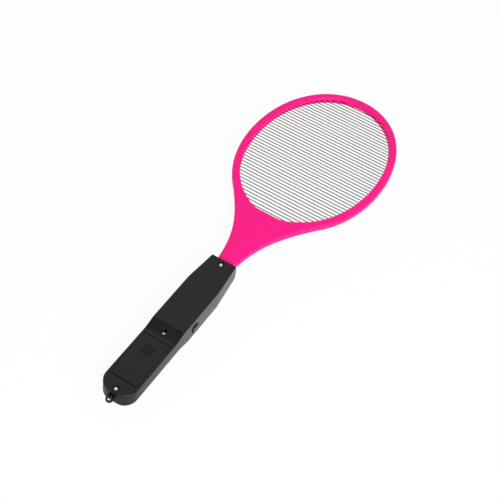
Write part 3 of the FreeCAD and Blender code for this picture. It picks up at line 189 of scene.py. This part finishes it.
drawn_steel, tree = new_material("drawn_steel_wire")
place = add(tree, "ShaderNodeTexCoord").outputs["Object"]
along = add(tree, "ShaderNodeMapping", {
    "Vector": place, "Scale": (1000 / WIRE_RUN_MM, 1000 / WIRE_LINE_MM, 1000 / WIRE_LINE_MM),
})
lines = add(tree, "ShaderNodeTexNoise", {"Vector": along.outputs["Vector"], "Scale": 1.0, "Detail": 3.0})
tint = add(tree, "ShaderNodeValToRGB", {"Fac": lines.outputs["Fac"]})
colour_stops(tint, [(0.3, "252122"), (0.7, "3F3A3B")])
shader = add(tree, "ShaderNodeBsdfPrincipled", {
    "Base Color": tint.outputs["Color"], "Metallic": 1.0, "Roughness": 0.45,
})
add(tree, "ShaderNodeOutputMaterial", {"Surface": shader.outputs["BSDF"]})
for node in ("grid_wires_left", "grid_wires_right"):
    wear(cad[node], drawn_steel)


# ---- Grid leads -----------------------------------------------------------------------------------------
# Two white silicone-insulated leads from the board through the neck, one to each strip. Silicone is soft
# and slightly dusty, with no gloss.

DUST_MM = 4.0
DUST_RELIEF_MM = 0.04


def mottled(name, stops, mottle_mm, detail, surface, relief_mm=None):
    """A material whose colour wanders over a real width, with a relief to match where one is given."""
    material, tree = new_material(name)
    place = add(tree, "ShaderNodeTexCoord").outputs["Object"]
    mottle = add(tree, "ShaderNodeTexNoise", {"Vector": place, "Scale": 1000 / mottle_mm, "Detail": detail})
    tint = add(tree, "ShaderNodeValToRGB", {"Fac": mottle.outputs["Fac"]})
    colour_stops(tint, stops)
    inputs = {"Base Color": tint.outputs["Color"], **surface}
    if relief_mm:
        bump = add(tree, "ShaderNodeBump", {"Height": mottle.outputs["Fac"], "Distance": relief_mm / 1000})
        inputs["Normal"] = bump.outputs["Normal"]
    shader = add(tree, "ShaderNodeBsdfPrincipled", inputs)
    add(tree, "ShaderNodeOutputMaterial", {"Surface": shader.outputs["BSDF"]})
    return material


def lead_insulation(name, colour, dusty_colour, roughness):
    """Extruded insulation with a light film of dust."""
    return mottled(name, [(0.4, colour), (0.75, dusty_colour)], DUST_MM, 4.0,
                   {"Roughness": roughness}, relief_mm=DUST_RELIEF_MM)


white_silicone = lead_insulation("white_silicone_insulation", "E4E2DA", "CFCCC3", roughness=0.6)
for node in ("grid_lead_left", "grid_lead_right"):
    wear(cad[node], white_silicone)


# ---- Handle casing --------------------------------------------------------------------------------------
# Black ABS, moulded in a front and a back half that meet along the side walls. It is semi-gloss: it mirrors
# pale surroundings at a flat angle, and looks nearly black from straight on.

black_abs = moulded_plastic(
    "black_moulded_abs", colour="121313", flow_colour="0E0F0F", roughness=0.3,
    grain_mm=0.5, grain_depth_mm=0.006,
)
for node in ("handle_front_shell", "handle_rear_shell"):
    wear(cad[node], black_abs)


# ---- Circuit board --------------------------------------------------------------------------------------
# Single-sided paper-phenolic board on four posts in the front casing, with screws in two of them. It is
# punched and bare on the parts side, where the brown laminate shows its paper fibres.

FIBRE_WIDTH_MM = 0.5
FIBRE_LENGTH_MM = 2.5
FIBRE_RELIEF = 0.00003

laminate, tree = new_material("paper_phenolic_laminate")
place = add(tree, "ShaderNodeTexCoord").outputs["Object"]
stretched = add(tree, "ShaderNodeMapping", {
    "Vector": place, "Scale": (1000 / FIBRE_WIDTH_MM, 1000 / FIBRE_LENGTH_MM, 1000 / FIBRE_WIDTH_MM),
})
fibres = add(tree, "ShaderNodeTexNoise", {"Vector": stretched.outputs["Vector"], "Scale": 1.0, "Detail": 4.0})
tint = add(tree, "ShaderNodeValToRGB", {"Fac": fibres.outputs["Fac"]})
colour_stops(tint, [(0.3, "9A7037"), (0.7, "B98B4C")])
bump = add(tree, "ShaderNodeBump", {"Height": fibres.outputs["Fac"], "Distance": FIBRE_RELIEF})
shader = add(tree, "ShaderNodeBsdfPrincipled", {
    "Base Color": tint.outputs["Color"], "Roughness": 0.5, "Normal": bump.outputs["Normal"],
})
add(tree, "ShaderNodeOutputMaterial", {"Surface": shader.outputs["BSDF"]})
wear(cad["circuit_board"], laminate)


# ---- Capacitors -----------------------------------------------------------------------------------------
# A red film capacitor stores the grid's charge, and three blue ones feed it. Both are dipped in epoxy, which
# flows glossy over the corners, and stand a little off the board on tinned wires.

WIRE_SHOWN = 0.00095
EPOXY_FLOW_MM = 3.0
EPOXY_RELIEF = 0.00004


def epoxy_on_wires(name, colour, flow_colour, roughness):
    """Epoxy over a part's body, and bare tinned wire or leg between the body and the board."""
    material, tree = new_material(name)
    body_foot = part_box("circuit_board")[1].z + WIRE_SHOWN
    place = add(tree, "ShaderNodeTexCoord").outputs["Object"]
    height = add(tree, "ShaderNodeSeparateXYZ", {"Vector": place})
    is_wire = add(tree, "ShaderNodeMath", {0: height.outputs["Z"], 1: body_foot}, operation="LESS_THAN")
    flow = add(tree, "ShaderNodeTexNoise", {"Vector": place, "Scale": 1000 / EPOXY_FLOW_MM, "Detail": 2.0})
    drift = add(tree, "ShaderNodeValToRGB", {"Fac": flow.outputs["Fac"]})
    colour_stops(drift, [(0.35, flow_colour), (0.65, colour)])
    coat_or_tin = add(tree, "ShaderNodeMix", {
        SHARE: is_wire.outputs["Value"], FIRST_COLOUR: drift.outputs["Color"], SECOND_COLOUR: linear(TIN),
    }, data_type="RGBA")
    bump = add(tree, "ShaderNodeBump", {"Height": flow.outputs["Fac"], "Distance": EPOXY_RELIEF})
    shader = add(tree, "ShaderNodeBsdfPrincipled", {
        "Base Color": coat_or_tin.outputs[MIXED_COLOUR], "Metallic": is_wire.outputs["Value"],
        "Roughness": roughness, "Normal": bump.outputs["Normal"],
    })
    add(tree, "ShaderNodeOutputMaterial", {"Surface": shader.outputs["BSDF"]})
    return material


wear(cad["storage_capacitor"], epoxy_on_wires("red_dipped_epoxy", "8E2018", "7A1912", roughness=0.22))
wear(cad["pump_capacitors"], epoxy_on_wires("blue_dipped_epoxy", "1C3F7A", "17366B", roughness=0.22))


# ---- Transformer ----------------------------------------------------------------------------------------
# A core of sintered ferrite, ground dull charcoal and speckled, round a copper winding. The winding is
# wrapped in yellow polyester tape, whose laps show as darker lines.

FERRITE_SPECK_MM = 0.3
TAPE_LAP_MM = 3.0
TAPE_THICKNESS = 0.00006
WAVE_BAND = math.tau / 20           # the width of one band of a wave texture at a scale of 1

ferrite = mottled("sintered_ferrite", [(0.35, "2A2A2C"), (0.7, "434346")], FERRITE_SPECK_MM, 3.0,
                  {"Roughness": 0.65}, relief_mm=0.03)
wear(cad["transformer_core"], ferrite)

tape, tree = new_material("yellow_polyester_tape")
place = add(tree, "ShaderNodeTexCoord").outputs["Object"]
laps = add(tree, "ShaderNodeTexWave", {
    "Vector": place, "Scale": 1000 / TAPE_LAP_MM * WAVE_BAND, "Distortion": 0.6,
}, bands_direction="X", wave_profile="SAW")
tint = add(tree, "ShaderNodeValToRGB", {"Fac": laps.outputs["Fac"]})
colour_stops(tint, [(0.0, "A9801C"), (0.12, "D9A92E")])
bump = add(tree, "ShaderNodeBump", {"Height": laps.outputs["Fac"], "Distance": TAPE_THICKNESS})
shader = add(tree, "ShaderNodeBsdfPrincipled", {
    "Base Color": tint.outputs["Color"], "Roughness": 0.3, "Normal": bump.outputs["Normal"],
})
add(tree, "ShaderNodeOutputMaterial", {"Surface": shader.outputs["BSDF"]})
wear(cad["transformer_winding"], tape)


# ---- Diodes and resistors -------------------------------------------------------------------------------
# Diodes in moulded black epoxy with a silver ring at one end, and resistors under tan lacquer with painted
# rings. They lie in rows on tinned wires, so everything past a body's end is bright metal.

DIODE_SPAN = 0.0096
DIODE_BODY_HALF = 0.00221
RESISTOR_BODY_HALF = 0.00271
LACQUER_GRAIN_MM = 0.6
LACQUER_RELIEF = 0.00001
MOULDED_BLACK, SILVER_INK = "161616", "C9C9C6"
TAN, BROWN, BLACK, ORANGE, GOLD = "C2A26F", "7A3B12", "1B1B1B", "C7401A", "B0862B"


def ringed_bodies(name, rows, half_length, rings, roughness):
    """Bodies in one row or in two mirrored rows along Y, painted with rings, on bare tinned wires."""
    material, tree = new_material(name)
    middle = sum(rows) / len(rows)
    spread = (max(rows) - min(rows)) / 2
    place = add(tree, "ShaderNodeTexCoord").outputs["Object"]
    axes = add(tree, "ShaderNodeSeparateXYZ", {"Vector": place})
    side = add(tree, "ShaderNodeMath", {0: axes.outputs["Y"], 1: middle}, operation="SUBTRACT")
    if len(rows) > 1:
        side = add(tree, "ShaderNodeMath", {0: side.outputs["Value"]}, operation="ABSOLUTE")
    along_body = add(tree, "ShaderNodeMapRange", {
        "Value": side.outputs["Value"], "From Min": spread - half_length, "From Max": spread + half_length,
    })
    paint = add(tree, "ShaderNodeValToRGB", {"Fac": along_body.outputs["Result"]})
    paint.color_ramp.interpolation = "CONSTANT"
    colour_stops(paint, rings)
    from_body = add(tree, "ShaderNodeMath", {0: side.outputs["Value"], 1: spread}, operation="SUBTRACT")
    beyond = add(tree, "ShaderNodeMath", {0: from_body.outputs["Value"]}, operation="ABSOLUTE")
    is_wire = add(tree, "ShaderNodeMath", {0: beyond.outputs["Value"], 1: half_length},
                  operation="GREATER_THAN")
    paint_or_tin = add(tree, "ShaderNodeMix", {
        SHARE: is_wire.outputs["Value"], FIRST_COLOUR: paint.outputs["Color"], SECOND_COLOUR: linear(TIN),
    }, data_type="RGBA")
    grain = add(tree, "ShaderNodeTexNoise", {
        "Vector": place, "Scale": 1000 / LACQUER_GRAIN_MM, "Detail": 2.0,
    })
    bump = add(tree, "ShaderNodeBump", {"Height": grain.outputs["Fac"], "Distance": LACQUER_RELIEF})
    shader = add(tree, "ShaderNodeBsdfPrincipled", {
        "Base Color": paint_or_tin.outputs[MIXED_COLOUR], "Metallic": is_wire.outputs["Value"],
        "Roughness": roughness, "Normal": bump.outputs["Normal"],
    })
    add(tree, "ShaderNodeOutputMaterial", {"Surface": shader.outputs["BSDF"]})
    return material


low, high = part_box("rectifier_diodes")
wear(cad["rectifier_diodes"], ringed_bodies(
    "black_moulded_diodes", (low.y + DIODE_SPAN / 2, high.y - DIODE_SPAN / 2), DIODE_BODY_HALF,
    [(0.0, MOULDED_BLACK), (0.7, SILVER_INK), (0.86, MOULDED_BLACK)], roughness=0.35,
))
low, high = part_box("resistors")
wear(cad["resistors"], ringed_bodies(
    "tan_lacquered_resistors", ((low.y + high.y) / 2,), RESISTOR_BODY_HALF,
    [(0.0, TAN), (0.14, BROWN), (0.24, TAN), (0.36, BLACK), (0.46, TAN),
     (0.58, ORANGE), (0.68, TAN), (0.8, GOLD), (0.9, TAN)], roughness=0.28,
))


# ---- Transistor -----------------------------------------------------------------------------------------
# Half-round package of moulded black epoxy on three tinned legs, which switches the transformer. The epoxy
# comes matt out of its mould.

wear(cad["transistor"], epoxy_on_wires("black_moulded_epoxy", "1D1D1E", "171718", roughness=0.45))


# ---- Indicator lamp -------------------------------------------------------------------------------------
# Red light-emitting diode on the board, its clear-red epoxy dome showing in the front face. The cast epoxy
# is smooth and lets a little light through.

lamp_epoxy = mottled("red_diffused_epoxy", [(0.3, "B30E12"), (0.7, "D11C1E")], 1.0, 2.0,
                     {"Roughness": 0.2, "IOR": 1.54, "Transmission Weight": 0.3})
wear(cad["indicator_led"], lamp_epoxy)


# ---- Push switch ----------------------------------------------------------------------------------------
# A box of moulded black nylon on the board, dull beside the casing's ABS. Its off-white acetal plunger is
# pressed by the button's stem, and has acetal's waxy gloss.

black_nylon = moulded_plastic(
    "black_moulded_nylon", colour="1A1A1A", flow_colour="222222", roughness=0.5,
    grain_mm=0.8, grain_depth_mm=0.006,
)
wear(cad["switch_body"], black_nylon)
white_acetal = moulded_plastic(
    "natural_acetal", colour="DAD7CC", flow_colour="CFCBBE", roughness=0.42,
    grain_mm=0.8, grain_depth_mm=0.003,
)
wear(cad["switch_plunger"], white_acetal)


# ---- Push button ----------------------------------------------------------------------------------------
# Cap moulded in the casing's black ABS. It slides in the right side wall, with a flange behind the wall
# that keeps it in.

wear(cad["push_button"], black_abs)


# ---- Springs and contact plates -------------------------------------------------------------------------
# Cone springs of plated spring wire, and contact plates cut from nickel-plated steel sheet, which stand
# against the ends of the battery bay. The sheet keeps the fine grain of rolling, so it is duller.

nickel = plated_metal(
    "nickel_plated_steel", colour="F4F1EC", dull_colour="E6E2DA", roughness=0.1, grain_mm=0.4,
)
wear(cad["contact_springs"], nickel)
rolled_nickel = plated_metal(
    "rolled_nickel_plate", colour="E4DFD6", dull_colour="CDC8BF", roughness=0.3, grain_mm=0.6,
)
for node in ("tail_contact_plate", "head_contact_plate_left", "head_contact_plate_right"):
    wear(cad[node], rolled_nickel)


# ---- Battery leads --------------------------------------------------------------------------------------
# Two leads in extruded PVC, black and red, from the head contacts to the board. PVC is a little glossier
# than the grid leads' silicone.

wear(cad["battery_lead_left"], lead_insulation("black_pvc_insulation", "1A1A1A", "242424", roughness=0.4))
wear(cad["battery_lead_right"], lead_insulation("red_pvc_insulation", "B3160F", "9E130D", roughness=0.4))


# ---- Screws ---------------------------------------------------------------------------------------------
# Nickel-plated pan-head screws with a cross recess, two in the board and three that clamp the casing. The
# plating is bright, so in their deep recesses they show as light dots.

for node in ("board_screws", "case_screws"):
    wear(cad[node], nickel)


# ---- Battery cells --------------------------------------------------------------------------------------
# Two AA cells, head to tail in the bay: a steel can with a nub, inside a printed shrink sleeve that is
# rolled over both rims, and a pressed paper ring round the nub.

NUB_LENGTH = 0.001
NUB_RADIUS = 0.0027
SLEEVE_FILM = 0.00004
SLEEVE_ROLL = 0.0011
SLEEVE_ROUND = 0.0004
SLEEVE_BAND = 0.0125
SLEEVE_LINE_SHARE = 0.02            # of the can's length, between the band and the grey
BAND_GREEN, LINE_WHITE, SLEEVE_GREY = "2D5A52", "E6E4DC", "8B9094"
CREASE_MM = 5.0
CREASE_RELIEF = 0.00004
RING_THICKNESS = 0.0002
RING_TO_SLEEVE = 0.00011
RING_TO_NUB = 0.0001
PULP_MM = 0.4


def sleeve_film(name, nub_y, flat_y):
    """Gloss film, silver grey with a darker band at the nub's end and a thin line between the two."""
    material, tree = new_material(name)
    place = add(tree, "ShaderNodeTexCoord").outputs["Object"]
    axes = add(tree, "ShaderNodeSeparateXYZ", {"Vector": place})
    along = add(tree, "ShaderNodeMapRange", {
        "Value": axes.outputs["Y"], "From Min": nub_y, "From Max": flat_y,
    })
    band = SLEEVE_BAND / abs(flat_y - nub_y)
    ink = add(tree, "ShaderNodeValToRGB", {"Fac": along.outputs["Result"]})
    ink.color_ramp.interpolation = "CONSTANT"
    colour_stops(ink, [(0.0, BAND_GREEN), (band, LINE_WHITE), (band + SLEEVE_LINE_SHARE, SLEEVE_GREY)])
    creases = add(tree, "ShaderNodeTexNoise", {"Vector": place, "Scale": 1000 / CREASE_MM, "Detail": 3.0})
    bump = add(tree, "ShaderNodeBump", {"Height": creases.outputs["Fac"], "Distance": CREASE_RELIEF})
    shader = add(tree, "ShaderNodeBsdfPrincipled", {
        "Base Color": ink.outputs["Color"], "Metallic": 0.35, "Roughness": 0.3, "Coat Weight": 0.4,
        "Coat Roughness": 0.12, "Normal": bump.outputs["Normal"],
    })
    add(tree, "ShaderNodeOutputMaterial", {"Surface": shader.outputs["BSDF"]})
    return material


def settle(piece):
    """Applies a piece's place to its mesh and lets it ride on the swatter."""
    bpy.ops.object.transform_apply(location=True, rotation=True, scale=True)
    bpy.ops.object.shade_smooth_by_angle(angle=math.radians(35))
    piece.select_set(False)
    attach(piece, "swatter")


cell_steel = plated_metal(
    "cell_can_steel", colour="D8D5CE", dull_colour="C4C0B8", roughness=0.3, grain_mm=0.8,
)
paper = mottled("white_pressed_paper", [(0.3, "D6D3C8"), (0.7, "EAE8E0")], PULP_MM, 4.0, {"Roughness": 0.8})
along_y = (math.radians(90), 0, 0)

for side, nub_sign in (("left", 1), ("right", -1)):
    wear(cad["battery_cell_" + side], cell_steel)
    low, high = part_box("battery_cell_" + side)
    radius = (high.x - low.x) / 2
    nub_y, flat_y = (high.y, low.y) if nub_sign > 0 else (low.y, high.y)
    shoulder_y = nub_y - nub_sign * NUB_LENGTH
    middle = Vector(((low.x + high.x) / 2, (shoulder_y + flat_y) / 2, (low.z + high.z) / 2))

    bpy.ops.mesh.primitive_cylinder_add(
        vertices=64, radius=radius + SLEEVE_FILM, depth=abs(shoulder_y - flat_y) + 2 * SLEEVE_FILM,
        end_fill_type="NGON", location=middle, rotation=along_y,
    )
    sleeve = bpy.context.object
    sleeve.name = "cell_sleeve_" + side
    bpy.ops.object.mode_set(mode="EDIT")
    bpy.ops.mesh.select_mode(type="FACE")
    bpy.ops.mesh.select_all(action="DESELECT")
    bpy.ops.object.mode_set(mode="OBJECT")
    for face in sleeve.data.polygons:
        face.select = len(face.vertices) > 4
    bpy.ops.object.mode_set(mode="EDIT")
    bpy.ops.mesh.inset(thickness=SLEEVE_ROLL)
    bpy.ops.mesh.delete(type="FACE")
    bpy.ops.object.mode_set(mode="OBJECT")
    bpy.ops.object.modifier_add(type="BEVEL")
    rounding = sleeve.modifiers[-1]
    rounding.width = SLEEVE_ROUND
    rounding.segments = 3
    rounding.angle_limit = math.radians(40)
    bpy.ops.object.modifier_apply(modifier=rounding.name)
    wear(sleeve, sleeve_film("printed_shrink_film_" + side, nub_y, flat_y))
    settle(sleeve)

    ring_radius = radius - SLEEVE_ROLL - RING_TO_SLEEVE
    bpy.ops.mesh.primitive_circle_add(
        vertices=48, radius=ring_radius, fill_type="NGON",
        location=(middle.x, shoulder_y + nub_sign * RING_THICKNESS / 2, middle.z), rotation=along_y,
    )
    ring = bpy.context.object
    ring.name = "cell_paper_ring_" + side
    bpy.ops.object.mode_set(mode="EDIT")
    bpy.ops.mesh.inset(thickness=ring_radius - NUB_RADIUS - RING_TO_NUB)
    bpy.ops.mesh.delete(type="FACE")
    bpy.ops.object.mode_set(mode="OBJECT")
    bpy.ops.object.modifier_add(type="SOLIDIFY")
    card = ring.modifiers[-1]
    card.thickness = RING_THICKNESS
    card.offset = 0.0
    bpy.ops.object.modifier_apply(modifier=card.name)
    wear(ring, paper)
    settle(ring)


# ---- Battery door ---------------------------------------------------------------------------------------
# Flat lid of the casing's black ABS, with a ribbed thumb patch and an arrow sunk in it. It lies flush in the
# back half and hooks under it at the tail.

wear(cad["battery_door"], black_abs)


# ---- Floor ----------------------------------------------------------------------------------------------
# A sheet of white paper under the swatter, which keeps its soft shadow. The camera and clear plastic see it
# as plain white. Glossy faces see painted shade on it that darkens towards the tail, which gives the
# handle's walls their tone.

FLOOR_SIZE = 8.0
FLOOR_DROP = 0.0003
FLOOR_GLOW_SHARE = 0.92
TAIL_SHADE_START, TAIL_SHADE_END = -0.11, -0.26
MIRRORED_TAIL_SHADE = 0.37
FIRST_NUMBER, SECOND_NUMBER, MIXED_NUMBER = 2, 3, 0         # a Mix node's sockets when it mixes numbers

bpy.ops.mesh.primitive_plane_add(size=FLOOR_SIZE, location=(0, 0, -FLOOR_DROP))
floor = bpy.context.object
floor.name = "floor"

sweep, tree = new_material("white_paper_sweep")
path = add(tree, "ShaderNodeLightPath")
place = add(tree, "ShaderNodeTexCoord").outputs["Object"]
across = add(tree, "ShaderNodeSeparateXYZ", {"Vector": place})
# Painted shade: what glossy faces see of the floor darkens towards the tail.
painted_tail_shade = add(tree, "ShaderNodeMapRange", {
    "Value": across.outputs["Y"], "From Min": TAIL_SHADE_START, "From Max": TAIL_SHADE_END,
    "To Min": 1.0, "To Max": MIRRORED_TAIL_SHADE,
})
glow = add(tree, "ShaderNodeMix", {
    SHARE: path.outputs["Is Glossy Ray"], FIRST_NUMBER: 1.0, SECOND_NUMBER: painted_tail_shade.outputs["Result"],
})
plain = add(tree, "ShaderNodeEmission", {"Color": linear("FFFFFF"), "Strength": glow.outputs[MIXED_NUMBER]})
shaded = add(tree, "ShaderNodeBsdfDiffuse", {"Color": linear("F4F4F4")})
looked_at = add(tree, "ShaderNodeMath", {0: path.outputs["Is Camera Ray"], 1: path.outputs["Is Glossy Ray"]},
                operation="MAXIMUM")
looked_through = add(tree, "ShaderNodeMath", {
    0: looked_at.outputs["Value"], 1: path.outputs["Is Transmission Ray"],
}, operation="MAXIMUM")
glow_share = add(tree, "ShaderNodeMath", {0: looked_through.outputs["Value"], 1: FLOOR_GLOW_SHARE},
                 operation="MULTIPLY")
surface = add(tree, "ShaderNodeMixShader", {
    0: glow_share.outputs["Value"], 1: shaded.outputs["BSDF"], 2: plain.outputs["Emission"],
})
add(tree, "ShaderNodeOutputMaterial", {"Surface": surface.outputs["Shader"]})
floor.data.materials.append(sweep)


# ---- Surround -------------------------------------------------------------------------------------------
# A soft white room that the camera sees as plain white. Glossy faces mirror a dark room with a bright
# horizon, a dim panel high over the hoop, and in the panel a narrow strip light that only the screws catch.

SOFT_SKY = 0.62
MIRRORED_REST = 0.08
MIRRORED_HORIZON = 1.0
HORIZON_LOW, HORIZON_HIGH = 0.05, 0.3
MIRRORED_PANEL = 0.26
PANEL_DIRECTION = Vector((-0.30, 0.51, 0.81))
PANEL_EDGE, PANEL_MIDDLE = 0.4, 0.95                        # how closely a ray follows PANEL_DIRECTION
MIRRORED_STRIP = 1.4
STRIP_END, STRIP_MIDDLE = 0.992, 0.995
STRIP_SIDEWAYS = Vector((-0.94, 0.0, -0.34))
STRIP_HALF_WIDTH, STRIP_BRIGHT_HALF_WIDTH = 0.05, 0.035     # how far a ray may lean to STRIP_SIDEWAYS

world = bpy.data.worlds.new("studio")
bpy.context.scene.world = world
world.use_nodes = True
tree = world.node_tree
tree.nodes.clear()
path = add(tree, "ShaderNodeLightPath")
direction = add(tree, "ShaderNodeTexCoord").outputs["Generated"]
height = add(tree, "ShaderNodeSeparateXYZ", {"Vector": direction})
horizon = add(tree, "ShaderNodeMapRange", {
    "Value": height.outputs["Z"], "From Min": HORIZON_LOW, "From Max": HORIZON_HIGH,
    "To Min": MIRRORED_HORIZON, "To Max": MIRRORED_REST,
}, interpolation_type="SMOOTHSTEP")
towards = add(tree, "ShaderNodeVectorMath", {0: direction, 1: PANEL_DIRECTION}, operation="DOT_PRODUCT")
panel = add(tree, "ShaderNodeMapRange", {
    "Value": towards.outputs["Value"], "From Min": PANEL_EDGE, "From Max": PANEL_MIDDLE,
    "To Min": MIRRORED_REST, "To Max": MIRRORED_PANEL,
}, interpolation_type="SMOOTHSTEP")
strip_length = add(tree, "ShaderNodeMapRange", {
    "Value": towards.outputs["Value"], "From Min": STRIP_END, "From Max": STRIP_MIDDLE,
    "To Min": 0.0, "To Max": MIRRORED_STRIP,
})
sideways = add(tree, "ShaderNodeVectorMath", {0: direction, 1: STRIP_SIDEWAYS}, operation="DOT_PRODUCT")
off_centre = add(tree, "ShaderNodeMath", {0: sideways.outputs["Value"]}, operation="ABSOLUTE")
strip_width = add(tree, "ShaderNodeMapRange", {
    "Value": off_centre.outputs["Value"], "From Min": STRIP_HALF_WIDTH, "From Max": STRIP_BRIGHT_HALF_WIDTH,
    "To Min": 0.0, "To Max": 1.0,
})
strip = add(tree, "ShaderNodeMath", {0: strip_length.outputs["Result"], 1: strip_width.outputs["Result"]},
            operation="MULTIPLY")
lit = add(tree, "ShaderNodeMath", {0: panel.outputs["Result"], 1: strip.outputs["Value"]},
          operation="MAXIMUM")
mirrored = add(tree, "ShaderNodeMath", {0: horizon.outputs["Result"], 1: lit.outputs["Value"]},
               operation="MAXIMUM")
soft_sky = add(tree, "ShaderNodeBackground", {"Color": linear("FFFFFF"), "Strength": SOFT_SKY})
mirrored_sky = add(tree, "ShaderNodeBackground", {
    "Color": linear("FFFFFF"), "Strength": mirrored.outputs["Value"],
})
sky = add(tree, "ShaderNodeMixShader", {
    0: path.outputs["Is Glossy Ray"],
    1: soft_sky.outputs["Background"], 2: mirrored_sky.outputs["Background"],
})
white = add(tree, "ShaderNodeBackground", {"Color": linear("FFFFFF"), "Strength": 1.0})
shown = add(tree, "ShaderNodeMath", {
    0: path.outputs["Is Camera Ray"], 1: path.outputs["Is Transmission Ray"],
}, operation="MAXIMUM")
final = add(tree, "ShaderNodeMixShader", {
    0: shown.outputs["Value"], 1: sky.outputs["Shader"], 2: white.outputs["Background"],
})
add(tree, "ShaderNodeOutputWorld", {"Surface": final.outputs["Shader"]})


# ---- Lamp and camera ------------------------------------------------------------------------------------
# One broad soft lamp stands over the right of the handle and points at the middle of the swatter. The camera
# looks down from beyond the tail, so the swatter lies across the picture from low left to high right.

LAMP_PLACE = (1.3, -1.1, 1.2)
LAMP_WIDTH = 1.3
LAMP_WATTS = 33.0
CAMERA_PLACE = Vector((0.3239, -0.7075, 0.8931))
CAMERA_AIM = Vector((0.01093, -0.0195, 0.0166))
CAMERA_ROLL = math.radians(9.363)
PICTURE_SIDE = 500
FOCAL_PIXELS = 1135.7
SENSOR_MM = 36.0
HALF_PIXEL = 0.5 / PICTURE_SIDE
FAR_CLIP = 20.0

bpy.ops.object.light_add(type="AREA", location=LAMP_PLACE)
lamp = bpy.context.object
lamp.data.shape = "DISK"
lamp.data.size = LAMP_WIDTH
lamp.data.energy = LAMP_WATTS
lamp.rotation_euler = (-lamp.location).to_track_quat("-Z", "Y").to_euler()

bpy.ops.object.camera_add(location=CAMERA_PLACE)
camera = bpy.context.object
turn = (CAMERA_AIM - CAMERA_PLACE).to_track_quat("-Z", "Y") @ Quaternion((0, 0, 1), CAMERA_ROLL)
camera.rotation_euler = turn.to_euler()
camera.data.sensor_width = SENSOR_MM
camera.data.lens = SENSOR_MM * FOCAL_PIXELS / PICTURE_SIDE
camera.data.shift_x = -HALF_PIXEL
camera.data.shift_y = HALF_PIXEL
camera.data.clip_end = FAR_CLIP
bpy.context.scene.camera = camera
bpy.context.scene.view_settings.view_transform = "Standard"
